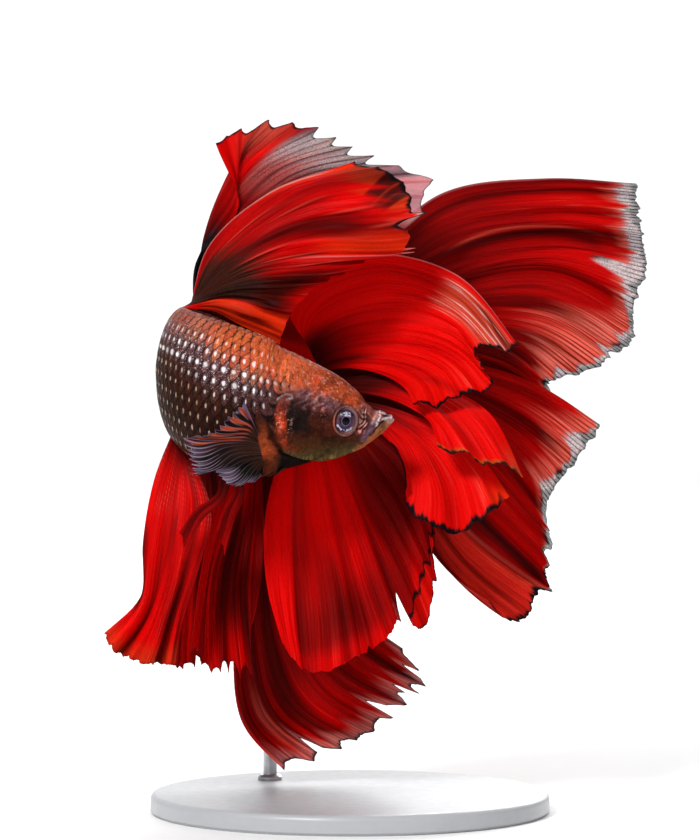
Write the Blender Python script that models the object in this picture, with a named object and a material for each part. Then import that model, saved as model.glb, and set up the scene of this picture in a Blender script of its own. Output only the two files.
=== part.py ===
"""Male halfmoon betta (Siamese fighting fish) turning sharply on itself, held on a small display stand.

The fish swims with its head to +X and its right side to -Y. The body bends in a C, so that the tail
lies behind the chest and also points to +X. The origin is the centre of the base's underside.
Lengths are in millimetres until they become mesh points.
"""

import math

import bmesh
import bpy
import numpy as np

MM = 0.001

# Stand
BASE_RADIUS = 20.0
BASE_THICKNESS = 2.0
BASE_EDGE = 0.6
ROD_RADIUS = 0.7
ROD_X = -8.2
ROD_Y = 10.6
ROD_TOP = 42.0
ROD_BEND = 2.0
ROD_END_Y = 8.3

# The fish is laid out about its own middle height, then set this much lower on its rod.
FISH_DROP = 0.3

# Joins between solids
SEAM = 0.3
FIN_GAP = 0.4
FIN_THICKNESS = 0.6

# Head
EYE_RADIUS = 1.5
EYE_STATION = 5.05
EYE_RISE = 0.2
EYE_FLATTENED = 1.05
EYE_DEPTH = 0.72
EYE_CLEARANCE = 0.15
GILL_SEAM = 11.2
GILL_BULGE = 0.9

# Lengths of the body, in millimetres from the lips
BEND_SEAM = 20.6
RUMP_SEAM = 30.6

AROUND = 20

# Stations along the body: x, y, z of its middle line, then the height of the back above it,
# the depth of the belly below it, and half its width.
BODY = {
    "lips": (4.15, -7.20, 39.85, 0.50, 0.50, 0.45),
    "snout": (3.10, -7.30, 39.40, 1.20, 1.15, 1.10),
    "brow": (1.50, -7.45, 39.30, 2.25, 2.15, 1.75),
    "eye": (-0.40, -7.70, 39.60, 3.60, 3.45, 2.40),
    "cheek": (-2.90, -7.95, 40.10, 4.75, 4.65, 2.90),
    "gill": (-6.00, -8.15, 40.55, 5.85, 5.90, 3.20),
    "shoulder": (-8.80, -8.20, 40.90, 6.85, 6.75, 3.35),
    "chest": (-11.40, -7.75, 41.70, 7.15, 7.00, 3.35),
    "flank": (-14.50, -5.60, 43.00, 7.05, 6.85, 3.15),
    "bend": (-16.65, -1.20, 44.30, 6.60, 6.40, 2.70),
    "rump": (-15.50, 3.30, 44.50, 6.00, 5.90, 2.50),
    "tail": (-12.10, 6.10, 43.50, 5.25, 5.25, 2.00),
    "peduncle": (-8.60, 7.40, 42.40, 4.70, 4.65, 1.50),
    "root": (-5.20, 8.10, 41.70, 4.40, 4.40, 0.95),
}

# Fin rays. Each starts at a root and passes through the points that follow, out to its tip.
# A dorsal or anal root is a distance along the body, and a tail root runs from 0 at the top of
# the tail's end to 1 at its bottom.
DORSAL_FRONT = (
    (25.2, (-13.6, -1.0, 50.5), (-10.6, -1.4, 48.9), (-7.4, -2.0, 47.2)),
    (25.6, (-13.4, -1.5, 51.6), (-9.6, -2.2, 51.3), (-5.9, -2.6, 50.4)),
    (26.0, (-12.8, -1.9, 52.3), (-7.9, -3.0, 52.8), (-2.7, -3.6, 53.3)),
    (26.5, (-12.2, -2.2, 53.0), (-5.8, -3.6, 54.4), (1.2, -4.4, 55.2)),
    (27.0, (-11.6, -2.4, 53.9), (-4.0, -4.0, 56.4), (5.1, -5.0, 56.4)),
    (27.5, (-11.6, -2.4, 55.0), (-3.5, -4.2, 59.4), (6.3, -5.2, 60.3)),
    (28.0, (-12.4, -2.2, 56.0), (-4.5, -4.0, 61.8), (5.2, -5.0, 63.4)),
    (28.5, (-14.0, -1.6, 57.0), (-8.0, -2.6, 62.5), (0.2, -3.6, 65.4)),
)
DORSAL_REAR = (
    (29.0, (-15.3, 0.4, 55.4), (-11.3, 1.8, 60.6), (-13.4, 0.8, 66.8)),
    (29.5, (-14.7, 0.9, 56.8), (-11.5, 2.2, 62.8), (-11.0, 1.9, 68.4)),
    (30.0, (-14.6, 1.2, 57.8), (-12.0, 2.4, 64.4), (-8.3, 2.6, 69.4)),
    (30.4, (-14.4, 1.4, 58.0), (-11.2, 2.6, 64.4), (-6.0, 3.0, 69.2)),
    (30.8, (-14.1, 1.6, 57.9), (-10.4, 2.8, 64.3), (-3.3, 3.4, 68.8)),
    (31.2, (-13.8, 1.8, 57.7), (-9.5, 2.9, 64.1), (-1.7, 3.6, 67.8)),
    (31.6, (-13.5, 1.9, 57.4), (-8.4, 3.0, 63.8), (0.0, 3.7, 66.9)),
    (32.0, (-13.2, 2.0, 57.0), (-6.8, 3.0, 63.4), (2.2, 3.8, 66.0)),
    (32.4, (-12.8, 2.1, 56.5), (-5.0, 3.0, 63.0), (4.6, 3.7, 65.1)),
    (32.8, (-12.4, 2.2, 56.0), (-2.8, 3.0, 62.2), (8.1, 3.5, 63.5)),
    (33.2, (-12.0, 2.3, 55.4), (-2.0, 2.7, 60.6), (7.0, 2.6, 60.2)),
    (34.4, (-9.8, 3.6, 51.6), (-6.2, 3.5, 52.2), (-2.2, 2.7, 52.8)),
    (35.6, (-9.6, 4.3, 48.4), (-7.0, 3.7, 46.8), (-4.4, 3.4, 45.0)),
)
TAIL_UPPER_FRONT = (
    (0.02, (-7.4, 5.6, 51.0), (-0.6, 4.6, 55.8), (10.5, 1.8, 54.2), (17.1, -0.5, 46.8)),
    (0.07, (-4.6, 5.6, 50.2), (2.4, 3.8, 53.8), (10.8, 0.6, 51.2), (15.0, -1.4, 46.5)),
    (0.12, (-2.6, 5.4, 48.8), (4.2, 2.8, 50.8), (10.4, -0.2, 49.0), (12.7, -2.2, 46.4)),
    (0.17, (-1.2, 5.2, 47.3), (5.3, 2.2, 48.2), (10.7, -1.4, 46.4), (13.9, -3.4, 43.3)),
    (0.22, (-0.5, 5.2, 45.9), (5.0, 2.0, 46.0), (9.2, -1.6, 44.2), (10.6, -3.8, 41.9)),
    (0.27, (-0.2, 5.2, 44.7), (3.4, 2.6, 44.0), (5.6, -0.6, 42.6), (6.3, -3.0, 41.1)),
)
TAIL_FRILL_UPPER = (
    (0.34, (1.8, 5.0, 43.9), (8.8, 0.9, 43.0), (13.8, -3.0, 40.6), (17.2, -5.6, 34.7)),
    (0.39, (1.5, 4.9, 43.3), (7.8, 0.7, 42.2), (11.6, -3.6, 39.8), (14.7, -6.2, 35.3)),
    (0.44, (1.2, 4.8, 42.7), (6.8, 0.5, 41.6), (9.6, -3.8, 39.4), (11.8, -6.2, 36.1)),
    (0.49, (0.8, 4.7, 42.2), (5.8, 0.3, 41.0), (8.0, -3.6, 39.4), (8.6, -5.6, 37.2)),
)
TAIL_FRILL_LOWER = (
    (0.54, (1.0, 4.3, 41.4), (7.8, 1.2, 39.4), (13.2, -1.6, 35.8), (16.3, -3.6, 31.6)),
    (0.58, (0.8, 4.2, 41.0), (7.0, 0.8, 38.6), (11.2, -2.4, 34.6), (13.2, -4.8, 29.8)),
    (0.62, (0.5, 4.1, 40.7), (6.2, 0.6, 38.0), (9.0, -2.8, 33.4), (9.6, -5.2, 28.5)),
    (0.66, (0.2, 4.0, 40.4), (5.2, 0.4, 37.6), (7.0, -2.8, 33.4), (6.7, -5.0, 29.9)),
    (0.70, (-0.2, 3.9, 40.1), (4.0, 0.2, 37.4), (5.2, -2.4, 35.4), (5.4, -4.4, 32.9)),
)
TAIL_NEAR = (
    (0.77, (1.4, 5.6, 39.6), (5.4, 3.4, 38.2), (8.2, 1.8, 33.4), (8.6, 0.4, 28.4)),
    (0.80, (0.2, 5.0, 38.6), (3.9, 2.6, 35.0), (6.9, 1.0, 29.6), (8.2, -0.4, 25.1)),
    (0.83, (-0.8, 4.4, 37.9), (2.8, 1.8, 32.6), (6.0, 0.4, 26.4), (8.6, -1.0, 21.8)),
    (0.86, (-1.6, 3.8, 37.3), (1.8, 1.2, 31.0), (4.8, 0.0, 24.3), (7.2, -1.2, 18.4)),
    (0.89, (-2.2, 3.3, 37.0), (0.9, 0.8, 30.4), (3.4, -0.4, 23.6), (5.2, -1.2, 19.4)),
    (0.92, (-2.9, 3.0, 36.7), (-0.5, 0.4, 29.6), (1.6, -0.9, 22.6), (3.6, -1.9, 17.6)),
    (0.94, (-3.7, 2.8, 36.5), (-2.0, 0.1, 29.1), (-0.4, -1.3, 21.9), (0.8, -2.7, 16.2)),
    (0.96, (-4.6, 2.7, 36.3), (-3.8, -0.1, 29.1), (-3.0, -1.5, 21.5), (-2.3, -3.1, 14.7)),
    (0.98, (-5.6, 2.7, 36.3), (-6.0, -0.2, 29.1), (-5.8, -1.6, 21.4), (-5.0, -3.2, 15.0)),
    (1.00, (-6.9, 2.8, 36.3), (-8.5, -0.2, 29.6), (-8.2, -1.8, 22.6), (-6.7, -3.0, 17.6)),
)
TAIL_FAR = (
    (0.02, (0.0, 9.5, 52.6), (9.2, 11.0, 62.3), (20.0, 12.0, 63.9), (29.5, 12.5, 63.3)),
    (0.09, (1.0, 9.6, 51.3), (10.2, 11.5, 58.6), (20.6, 12.8, 60.2), (30.3, 13.2, 59.5)),
    (0.16, (1.5, 9.6, 50.4), (10.7, 11.6, 55.5), (21.0, 13.2, 57.0), (30.6, 13.8, 55.6)),
    (0.23, (1.8, 9.5, 49.6), (10.9, 11.2, 53.1), (20.7, 12.8, 54.0), (29.1, 13.2, 50.2)),
    (0.30, (2.0, 9.4, 48.6), (10.6, 10.6, 51.1), (20.0, 12.0, 51.2), (29.4, 12.6, 46.5)),
    (0.37, (2.0, 9.2, 47.6), (10.0, 10.0, 49.2), (18.2, 10.6, 48.4), (25.6, 11.4, 44.3)),
    (0.44, (2.0, 8.9, 46.5), (9.2, 9.2, 47.2), (15.4, 9.4, 45.8), (19.9, 9.6, 42.5)),
    (0.50, (2.1, 8.7, 45.4), (9.3, 8.4, 45.4), (17.5, 8.2, 43.2), (25.4, 7.6, 38.6)),
    (0.57, (2.0, 8.5, 44.2), (9.0, 7.8, 43.2), (16.4, 7.2, 39.6), (22.7, 6.6, 35.1)),
    (0.63, (1.8, 8.4, 43.2), (8.2, 7.4, 41.2), (14.7, 6.6, 36.4), (20.2, 5.8, 30.1)),
    (0.70, (1.5, 8.3, 42.2), (7.5, 7.0, 39.4), (13.7, 6.2, 33.4), (20.8, 5.4, 26.6)),
    (0.77, (1.2, 8.2, 41.2), (6.8, 6.8, 37.8), (12.8, 5.8, 30.8), (20.1, 4.8, 23.7)),
    (0.83, (1.0, 8.1, 40.3), (6.0, 6.4, 36.2), (12.4, 5.0, 28.6), (21.0, 3.8, 22.1)),
    (0.88, (0.7, 8.0, 39.6), (5.5, 6.0, 34.8), (11.4, 4.6, 26.4), (19.4, 3.4, 20.4)),
    (0.93, (0.4, 8.0, 39.1), (5.0, 5.9, 33.8), (10.4, 4.5, 25.0), (17.6, 3.2, 18.8)),
    (0.98, (0.0, 8.0, 38.6), (4.4, 5.8, 32.8), (9.2, 4.4, 25.0), (14.3, 3.4, 20.7)),
)
ANAL_FRONT = (
    (19.8, (-13.7, -5.8, 30.3), (-15.0, -6.2, 25.0), (-16.4, -6.2, 20.6), (-17.3, -6.0, 15.8)),
    (21.2, (-15.5, -5.8, 30.4), (-16.6, -6.5, 25.0), (-18.0, -6.7, 20.4), (-19.4, -6.6, 15.7)),
    (22.7, (-17.2, -5.6, 30.8), (-18.1, -6.5, 25.6), (-19.4, -6.8, 20.8), (-21.8, -6.8, 15.9)),
    (24.2, (-18.5, -5.0, 31.8), (-19.4, -6.1, 26.2), (-20.0, -6.5, 21.8), (-23.5, -6.7, 16.5)),
    (25.6, (-19.5, -4.0, 33.4), (-20.5, -5.2, 27.2), (-20.5, -5.8, 22.6), (-24.6, -6.0, 18.2)),
)
ANAL_MIDDLE = (
    (26.4, (-18.5, 0.0, 31.6), (-19.0, 1.2, 24.1), (-20.0, 2.0, 17.6)),
    (29.4, (-16.5, 3.4, 31.1), (-17.0, 4.2, 23.6), (-17.5, 4.6, 16.6)),
    (32.2, (-14.0, 5.8, 31.1), (-14.5, 6.4, 23.1), (-15.0, 6.4, 16.1)),
    (34.8, (-11.8, 7.4, 31.1), (-12.7, 8.0, 22.8), (-13.3, 7.8, 15.4)),
)
ANAL_INNER = (
    (35.8, (-13.6, 1.8, 31.0), (-15.0, -0.6, 23.6), (-16.0, -1.5, 16.5)),
    (36.4, (-11.8, 3.2, 31.6), (-13.5, 0.2, 24.1), (-13.8, -1.6, 14.2)),
    (37.0, (-10.8, 3.4, 31.6), (-12.0, 0.5, 23.8), (-12.0, -1.5, 14.3)),
    (37.6, (-9.8, 3.7, 31.6), (-10.6, 0.8, 23.8), (-9.8, -1.2, 13.0)),
    (38.2, (-8.8, 4.0, 31.9), (-8.8, 1.2, 25.1), (-10.3, -0.6, 15.3)),
)
ANAL_REAR = (
    (38.8, (-10.7, 7.6, 26.6), (-11.9, 7.4, 15.6), (-11.0, 7.0, 8.6), (-6.1, 6.4, 3.1)),
    (39.3, (-9.3, 7.8, 26.8), (-9.0, 7.8, 16.8), (-6.7, 7.6, 10.2), (-0.5, 7.0, 5.7)),
    (39.8, (-8.3, 8.0, 27.4), (-6.6, 8.0, 18.2), (-3.1, 7.8, 12.0), (3.0, 7.2, 7.6)),
    (40.2, (-7.6, 8.1, 28.2), (-4.9, 8.1, 20.2), (-0.5, 8.0, 14.4), (6.4, 7.4, 10.4)),
    (40.6, (-7.1, 8.2, 29.0), (-3.6, 8.2, 21.8), (1.5, 8.1, 16.2), (8.3, 7.6, 11.8)),
    (41.0, (-6.6, 8.2, 30.0), (-2.9, 8.2, 23.8), (1.2, 8.1, 19.2), (5.9, 7.8, 15.7)),
)
PECTORAL_RIGHT = (
    ((-8.5, 38.6), (-9.6, -12.4, 40.2), (-10.3, -12.8, 41.8)),
    ((-8.5, 38.2), (-10.4, -12.8, 39.2), (-12.1, -13.2, 40.0)),
    ((-8.4, 37.8), (-11.2, -13.0, 38.4), (-14.0, -13.2, 38.6)),
    ((-8.3, 37.4), (-12.4, -12.9, 37.7), (-16.5, -12.4, 38.1)),
    ((-8.2, 37.0), (-12.3, -12.8, 36.7), (-16.0, -12.2, 36.1)),
    ((-8.1, 36.6), (-11.8, -12.6, 35.8), (-15.4, -12.0, 34.8)),
    ((-8.0, 36.2), (-10.8, -12.4, 35.5), (-13.2, -12.0, 35.0)),
    ((-8.0, 35.9), (-10.0, -12.1, 34.9), (-12.0, -11.8, 33.8)),
    ((-7.9, 35.6), (-9.2, -11.8, 34.7), (-10.5, -11.6, 33.6)),
    ((-7.9, 35.3), (-8.6, -11.5, 34.7), (-9.2, -11.4, 34.0)),
)
PECTORAL_LEFT = (
    ((-8.7, 38.6), (-9.0, -3.2, 40.0), (-9.4, -1.6, 41.4)),
    ((-8.7, 37.8), (-9.2, -2.4, 38.6), (-9.8, -0.2, 39.2)),
    ((-8.6, 37.0), (-9.2, -2.2, 37.4), (-9.8, 0.4, 37.4)),
    ((-8.5, 36.2), (-8.9, -2.4, 36.2), (-9.4, 0.2, 35.6)),
    ((-8.4, 35.6), (-8.5, -2.8, 35.0), (-8.8, -0.6, 34.0)),
)
PELVIC_RIGHT = (
    ((-9.6, -8.9), (-12.4, -8.4, 32.0), (-14.4, -8.0, 30.2), (-16.2, -7.8, 26.2)),
    ((-10.1, -9.1), (-12.7, -8.7, 32.4), (-14.8, -8.4, 30.6), (-16.4, -8.2, 27.4)),
    ((-10.6, -9.1), (-13.0, -8.9, 32.8), (-15.1, -8.7, 31.2), (-16.8, -8.6, 28.8)),
)
PELVIC_LEFT = (
    ((-9.6, -7.1), (-10.4, -6.4, 32.6), (-11.4, -5.9, 30.0), (-12.4, -5.6, 26.4)),
    ((-10.1, -6.9), (-10.9, -6.1, 32.9), (-11.9, -5.6, 30.6), (-12.8, -5.2, 27.6)),
    ((-10.6, -6.9), (-11.4, -5.9, 33.2), (-12.4, -5.3, 31.2), (-13.2, -4.8, 28.8)),
)


def through(knots, values, at):
    """Smooth curve through the values given at the knots, read at other places."""
    knots = np.asarray(knots, float)
    values = np.asarray(values, float)
    at = np.atleast_1d(np.asarray(at, float))
    steps = np.diff(knots)
    slopes = np.diff(values, axis=0) / steps.reshape(-1, *[1] * (values.ndim - 1))
    tangents = np.empty_like(values)
    tangents[0] = slopes[0]
    tangents[-1] = slopes[-1]
    for i in range(1, len(knots) - 1):
        share = steps[i - 1] / (steps[i - 1] + steps[i])
        tangents[i] = slopes[i - 1] * (1 - share) + slopes[i] * share
    cell = np.clip(np.searchsorted(knots, at, side="right") - 1, 0, len(steps) - 1)
    h = steps[cell]
    t = (at - knots[cell]) / h
    shape = (-1, *[1] * (values.ndim - 1))
    t = t.reshape(shape)
    h = h.reshape(shape)
    return (
        values[cell] * (2 * t**3 - 3 * t**2 + 1)
        + tangents[cell] * h * (t**3 - 2 * t**2 + t)
        + values[cell + 1] * (3 * t**2 - 2 * t**3)
        + tangents[cell + 1] * h * (t**3 - t**2)
    )


def unit(vectors):
    return vectors / np.linalg.norm(vectors, axis=-1, keepdims=True)


STATIONS = np.array(list(BODY.values()))
DISTANCES = np.concatenate(
    [[0.0], np.cumsum(np.linalg.norm(np.diff(STATIONS[:, :3], axis=0), axis=1))]
)
BODY_LENGTH = DISTANCES[-1]


def body_frame(s):
    """Middle line, its direction to the tail, up, the fish's left, and the sizes, at each distance s."""
    s = np.atleast_1d(np.asarray(s, float))
    found = through(DISTANCES, STATIONS, s)
    ahead = through(DISTANCES, STATIONS[:, :3], s + 0.05)
    behind = through(DISTANCES, STATIONS[:, :3], s - 0.05)
    along = unit(ahead - behind)
    up = np.array([0.0, 0.0, 1.0]) - along * along[:, 2:3]
    up = unit(up)
    left = np.cross(along, up)
    return found[:, :3], along, up, left, found[:, 3], found[:, 4], found[:, 5]


def section(s, angle, proud=0.0):
    """Points of the body's surface: angle 0 is the fish's left, a quarter turn is its back."""
    middle, _, up, left, above, below, width = body_frame(s)
    c, n = np.cos(angle), np.sin(angle)
    side = np.sign(c) * np.abs(c) ** np.where(n > 0, 1.18, 0.98) * (width + proud)
    rise = np.where(n > 0, above + proud, below + proud) * n
    return middle + left * side[:, None] + up * rise[:, None]


def mesh_object(name, points, faces, material, flat=False):
    """One closed mesh, with its faces turned outwards."""
    mesh = bpy.data.meshes.new(name)
    mesh.from_pydata([tuple(float(c) * MM for c in p) for p in points], [], faces)
    work = bmesh.new()
    work.from_mesh(mesh)
    bmesh.ops.triangulate(work, faces=work.faces[:])
    bmesh.ops.recalc_face_normals(work, faces=work.faces[:])
    if work.calc_volume(signed=True) < 0:
        bmesh.ops.reverse_faces(work, faces=work.faces[:])
    work.to_mesh(mesh)
    work.free()
    mesh.materials.append(material)
    if not flat:
        mesh.shade_smooth()
        mesh.set_sharp_from_angle(angle=math.radians(50))
    obj = bpy.data.objects.new(name, mesh)
    bpy.context.scene.collection.objects.link(obj)
    return obj


def finish(name, colour, roughness, metallic=0.0):
    material = bpy.data.materials.new(name)
    material.use_nodes = True
    shader = material.node_tree.nodes["Principled BSDF"]
    shader.inputs["Base Color"].default_value = (*colour, 1.0)
    shader.inputs["Roughness"].default_value = roughness
    shader.inputs["Metallic"].default_value = metallic
    return material


def gill_edge(angle):
    """How far the rear edge of the gill covers bows back, round the body."""
    return GILL_BULGE * np.cos(angle) ** 2 - 0.6 * np.clip(np.sin(angle), 0, 1)


def body_segment(name, start, end, rings, material, bow_start=None, bow_end=None):
    """A closed length of the body. Its ends can bow with the edge of the gill covers."""
    angles = np.linspace(0, 2 * math.pi, AROUND, endpoint=False)
    points = []
    for i in range(rings):
        t = i / (rings - 1)
        s = np.full(AROUND, start + (end - start) * t)
        if bow_start is not None:
            s += bow_start(angles) * (1 - t)
        if bow_end is not None:
            s += bow_end(angles) * t
        points.extend(section(s, angles))
    faces = []
    for i in range(rings - 1):
        for j in range(AROUND):
            k = (j + 1) % AROUND
            faces.append((i * AROUND + j, i * AROUND + k, (i + 1) * AROUND + k, (i + 1) * AROUND + j))
    for row, s in ((0, start), (rings - 1, end)):
        bow = bow_start if row == 0 else bow_end
        shift = 0.0 if bow is None else 0.5 * GILL_BULGE
        centre = len(points)
        points.append(body_frame(s + shift)[0][0])
        for j in range(AROUND):
            faces.append((row * AROUND + j, row * AROUND + (j + 1) % AROUND, centre))
    return mesh_object(name, points, faces, material)


def cut(obj, cutter):
    """Takes the cutter's shape out of the object. The cutter stays as a hidden guide."""
    cutter.hide_render = True
    cutter.display_type = "WIRE"
    cutter.name = "cutter_" + cutter.name
    boolean = obj.modifiers.new("cut", "BOOLEAN")
    boolean.operation = "DIFFERENCE"
    boolean.solver = "EXACT"
    boolean.object = cutter


def eye_centre(side):
    middle, _, up, left, _, _, width = (part[0] for part in body_frame(EYE_STATION))
    return middle + up * EYE_RISE + left * side * (width - EYE_DEPTH)


def ball(name, centre, radius, depth, segments, rings, material):
    """A ball flattened across the head, with its poles to the sides."""
    work = bmesh.new()
    bmesh.ops.create_uvsphere(work, u_segments=segments, v_segments=rings, radius=radius * MM)
    for point in work.verts:
        point.co.z *= depth / radius
    mesh = bpy.data.meshes.new(name)
    work.to_mesh(mesh)
    work.free()
    mesh.materials.append(material)
    mesh.shade_smooth()
    obj = bpy.data.objects.new(name, mesh)
    obj.location = [c * MM for c in centre]
    obj.rotation_euler = (math.pi / 2, 0, 0)
    bpy.context.scene.collection.objects.link(obj)
    return obj


def dorsal_root(s):
    middle, _, up, _, above, _, _ = (part[0] for part in body_frame(s))
    return middle + up * (above + FIN_GAP)


def ventral_root(s):
    middle, _, up, _, _, below, _ = (part[0] for part in body_frame(s))
    return middle - up * (below + FIN_GAP)


def tail_root(v, layer):
    """A point at the end of the tail, v from top to bottom. Layer 1 is nearer the chest, -1 the far side."""
    middle, along, up, left, above, below, _ = (part[0] for part in body_frame(BODY_LENGTH))
    rise = above - v * (above + below)
    return middle + along * (FIN_GAP + 0.1) + up * rise * 0.96 + left * layer * 0.5


def flank_root(x, z, side):
    """The point of the body's side at that x and z, just clear of its skin."""
    s = np.linspace(8, 18, 400)
    middle, _, up, left, above, below, width = body_frame(s)
    i = int(np.argmin(np.abs(middle[:, 0] - x)))
    drop = (middle[i, 2] - z) / below[i]
    return middle[i] - up[i] * below[i] * drop + left[i] * side * (
        width[i] * math.sqrt(max(0.0, 1 - drop**2)) + FIN_GAP
    )


def belly_root(x, y):
    s = np.linspace(8, 18, 400)
    middle, _, up, left, _, below, width = body_frame(s)
    i = int(np.argmin(np.abs(middle[:, 0] - x)))
    aside = (y - middle[i, 1]) / width[i]
    foot = middle[i] - up[i] * (below[i] * math.sqrt(1 - aside**2) + FIN_GAP + 0.2)
    return np.array([foot[0], y, foot[2]])


def rays(rows, root):
    """Each ray as a list of points, root first."""
    return np.array([[root(row[0]), *row[1:]] for row in rows], float)


def normals(sheet):
    return np.cross(np.gradient(sheet, axis=0), np.gradient(sheet, axis=1))


def fin(name, guides, across, along, material, part=(0.0, 1.0), waves=0.0, depth=0.0):
    """A closed sheet of even thickness through the guide rays, or the part of it between two shares.

    Its outer half is ruffled, with that many waves from its first ray to its last.
    """
    reach = np.linalg.norm(np.diff(guides[:, 1:].mean(axis=1), axis=0), axis=1)
    knots = np.concatenate([[0.0], np.cumsum(reach)]) / reach.sum()
    between = through(knots, guides, np.linspace(*part, across + 1))
    sheet = np.empty((across + 1, along + 1, 3))
    for i, ray in enumerate(between):
        spans = np.linalg.norm(np.diff(ray, axis=0), axis=1)
        lengths = np.concatenate([[0.0], np.cumsum(spans)]) / spans.sum()
        sheet[i] = through(lengths, ray, np.linspace(0, 1, along + 1))
    share = np.linspace(*part, across + 1)[:, None, None]
    out = np.linspace(0, 1, along + 1)[None, :, None]
    sheet += unit(normals(sheet)) * depth * np.sin(2 * math.pi * waves * share) * out**1.5
    normal = unit(normals(sheet))
    near = (sheet + normal * FIN_THICKNESS / 2).reshape(-1, 3)
    far = (sheet - normal * FIN_THICKNESS / 2).reshape(-1, 3)
    count = len(near)
    width = along + 1
    faces = []
    for i in range(across):
        for j in range(along):
            a = i * width + j
            faces.append((a, a + 1, a + width + 1, a + width))
            faces.append((count + a, count + a + width, count + a + width + 1, count + a + 1))
    rim = [i * width for i in range(across + 1)]
    rim += [across * width + j for j in range(1, along + 1)]
    rim += [i * width + along for i in range(across - 1, -1, -1)]
    rim += [j for j in range(along - 1, 0, -1)]
    for a, b in zip(rim, rim[1:] + rim[:1]):
        faces.append((a, b, count + b, count + a))
    return mesh_object(name, [*near, *far], faces, material)


def build_body(skin, eye_finish):
    head = body_segment("head", 0.0, GILL_SEAM - SEAM / 2, 15, skin, bow_end=gill_edge)
    body_segment("trunk_front", GILL_SEAM + SEAM / 2, BEND_SEAM - SEAM / 2, 7, skin, bow_start=gill_edge)
    body_segment("trunk_bend", BEND_SEAM + SEAM / 2, RUMP_SEAM - SEAM / 2, 8, skin)
    tail = body_segment("tail", RUMP_SEAM + SEAM / 2, BODY_LENGTH, 9, skin)
    for side, word in ((-1, "right"), (1, "left")):
        centre = eye_centre(side)
        room = EYE_CLEARANCE
        socket = ball(
            "socket_" + word, centre, EYE_RADIUS + room, EYE_FLATTENED + room, 20, 12, skin
        )
        cut(head, socket)
        head.modifiers[-1].name = "socket_" + word
        ball("eye_" + word, centre, EYE_RADIUS, EYE_FLATTENED, 16, 10, eye_finish)
    return tail


def build_dorsal_fin(red, dark_red):
    fin("dorsal_fin_front", rays(DORSAL_FRONT, dorsal_root), 14, 8, red, waves=2.5, depth=0.3)
    fin("dorsal_fin_rear", rays(DORSAL_REAR, dorsal_root), 17, 7, dark_red, waves=3, depth=0.3)


def build_tail_fin(red, dark_red):
    """The tail fin's near sheets, from the top down, then its far sheet in three lengths."""
    upper = rays(TAIL_UPPER_FRONT, lambda v: tail_root(v, 1))
    fin("tail_fin_upper_front", upper, 10, 9, red, waves=1.5, depth=0.3)
    frill = rays(TAIL_FRILL_UPPER, lambda v: tail_root(v, 1))
    fin("tail_fin_frill_upper", frill, 7, 9, red)
    frill = rays(TAIL_FRILL_LOWER, lambda v: tail_root(v, 1))
    fin("tail_fin_frill_lower", frill, 8, 9, red, waves=1, depth=0.3)
    near = rays(TAIL_NEAR, lambda v: tail_root(v, 1))
    fin("tail_fin_lower_front", near, 8, 8, red, part=(0.0, 0.38), waves=3, depth=0.4)
    fin("tail_fin_lowest", near, 10, 8, red, part=(0.41, 1.0), waves=3, depth=0.4)
    far = rays(TAIL_FAR, lambda v: tail_root(v, -1))
    fin("tail_fin_upper", far, 13, 8, dark_red, part=(0.0, 0.40), waves=6, depth=0.5)
    fin("tail_fin_middle", far, 11, 8, dark_red, part=(0.416, 0.80), waves=6, depth=0.5)
    fin("tail_fin_lower", far, 7, 8, dark_red, part=(0.816, 1.0), waves=6, depth=0.5)


def build_anal_fin(red, dark_red):
    fin("anal_fin_front", rays(ANAL_FRONT, ventral_root), 10, 8, red, waves=1.5, depth=0.35)
    fin("anal_fin_middle", rays(ANAL_MIDDLE, ventral_root), 10, 6, dark_red, waves=2.5, depth=0.5)
    fin("anal_fin_inner", rays(ANAL_INNER, ventral_root), 8, 7, dark_red, waves=2, depth=0.35)
    fin("anal_fin_rear", rays(ANAL_REAR, ventral_root), 11, 9, dark_red, waves=3.5, depth=0.4)


def build_paired_fins(red, lilac):
    for side, word, rows in ((-1, "right", PECTORAL_RIGHT), (1, "left", PECTORAL_LEFT)):
        guides = rays(rows, lambda p: flank_root(p[0], p[1], side))
        fin("pectoral_fin_" + word, guides, len(rows), 4, lilac)
    for word, rows in (("right", PELVIC_RIGHT), ("left", PELVIC_LEFT)):
        guides = rays(rows, lambda p: belly_root(p[0], p[1]))
        fin("pelvic_fin_" + word, guides, 3, 6, red)


def turned(name, profile, segments, material):
    """A solid turned about the Z axis from a profile of (radius, height), bottom centre to top centre."""
    points = [(0.0, 0.0, profile[0][1])]
    faces = []
    for radius, height in profile:
        for k in range(segments):
            a = 2 * math.pi * k / segments
            points.append((radius * math.cos(a), radius * math.sin(a), height))
    points.append((0.0, 0.0, profile[-1][1]))
    for k in range(segments):
        n = (k + 1) % segments
        faces.append((0, 1 + k, 1 + n))
        for ring in range(len(profile) - 1):
            a = 1 + ring * segments
            b = a + segments
            faces.append((a + k, a + n, b + n, b + k))
        top = 1 + (len(profile) - 1) * segments
        faces.append((top + k, top + n, len(points) - 1))
    return mesh_object(name, points, faces, material)


def pipe(name, path, radius, segments, material):
    """A round bar along a path that stays in one vertical plane along Y."""
    path = np.asarray(path, float)
    along = unit(np.gradient(path, axis=0))
    across = np.array([1.0, 0.0, 0.0])
    points = []
    for centre, direction in zip(path, along):
        lift = np.cross(direction, across)
        for k in range(segments):
            a = 2 * math.pi * k / segments
            points.append(centre + radius * (math.cos(a) * across + math.sin(a) * lift))
    faces = []
    for i in range(len(path) - 1):
        for k in range(segments):
            n = (k + 1) % segments
            faces.append((i * segments + k, i * segments + n, (i + 1) * segments + n, (i + 1) * segments + k))
    faces.append(tuple(range(segments)))
    faces.append(tuple(range((len(path) - 1) * segments, len(path) * segments)))
    return mesh_object(name, points, faces, material)


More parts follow.
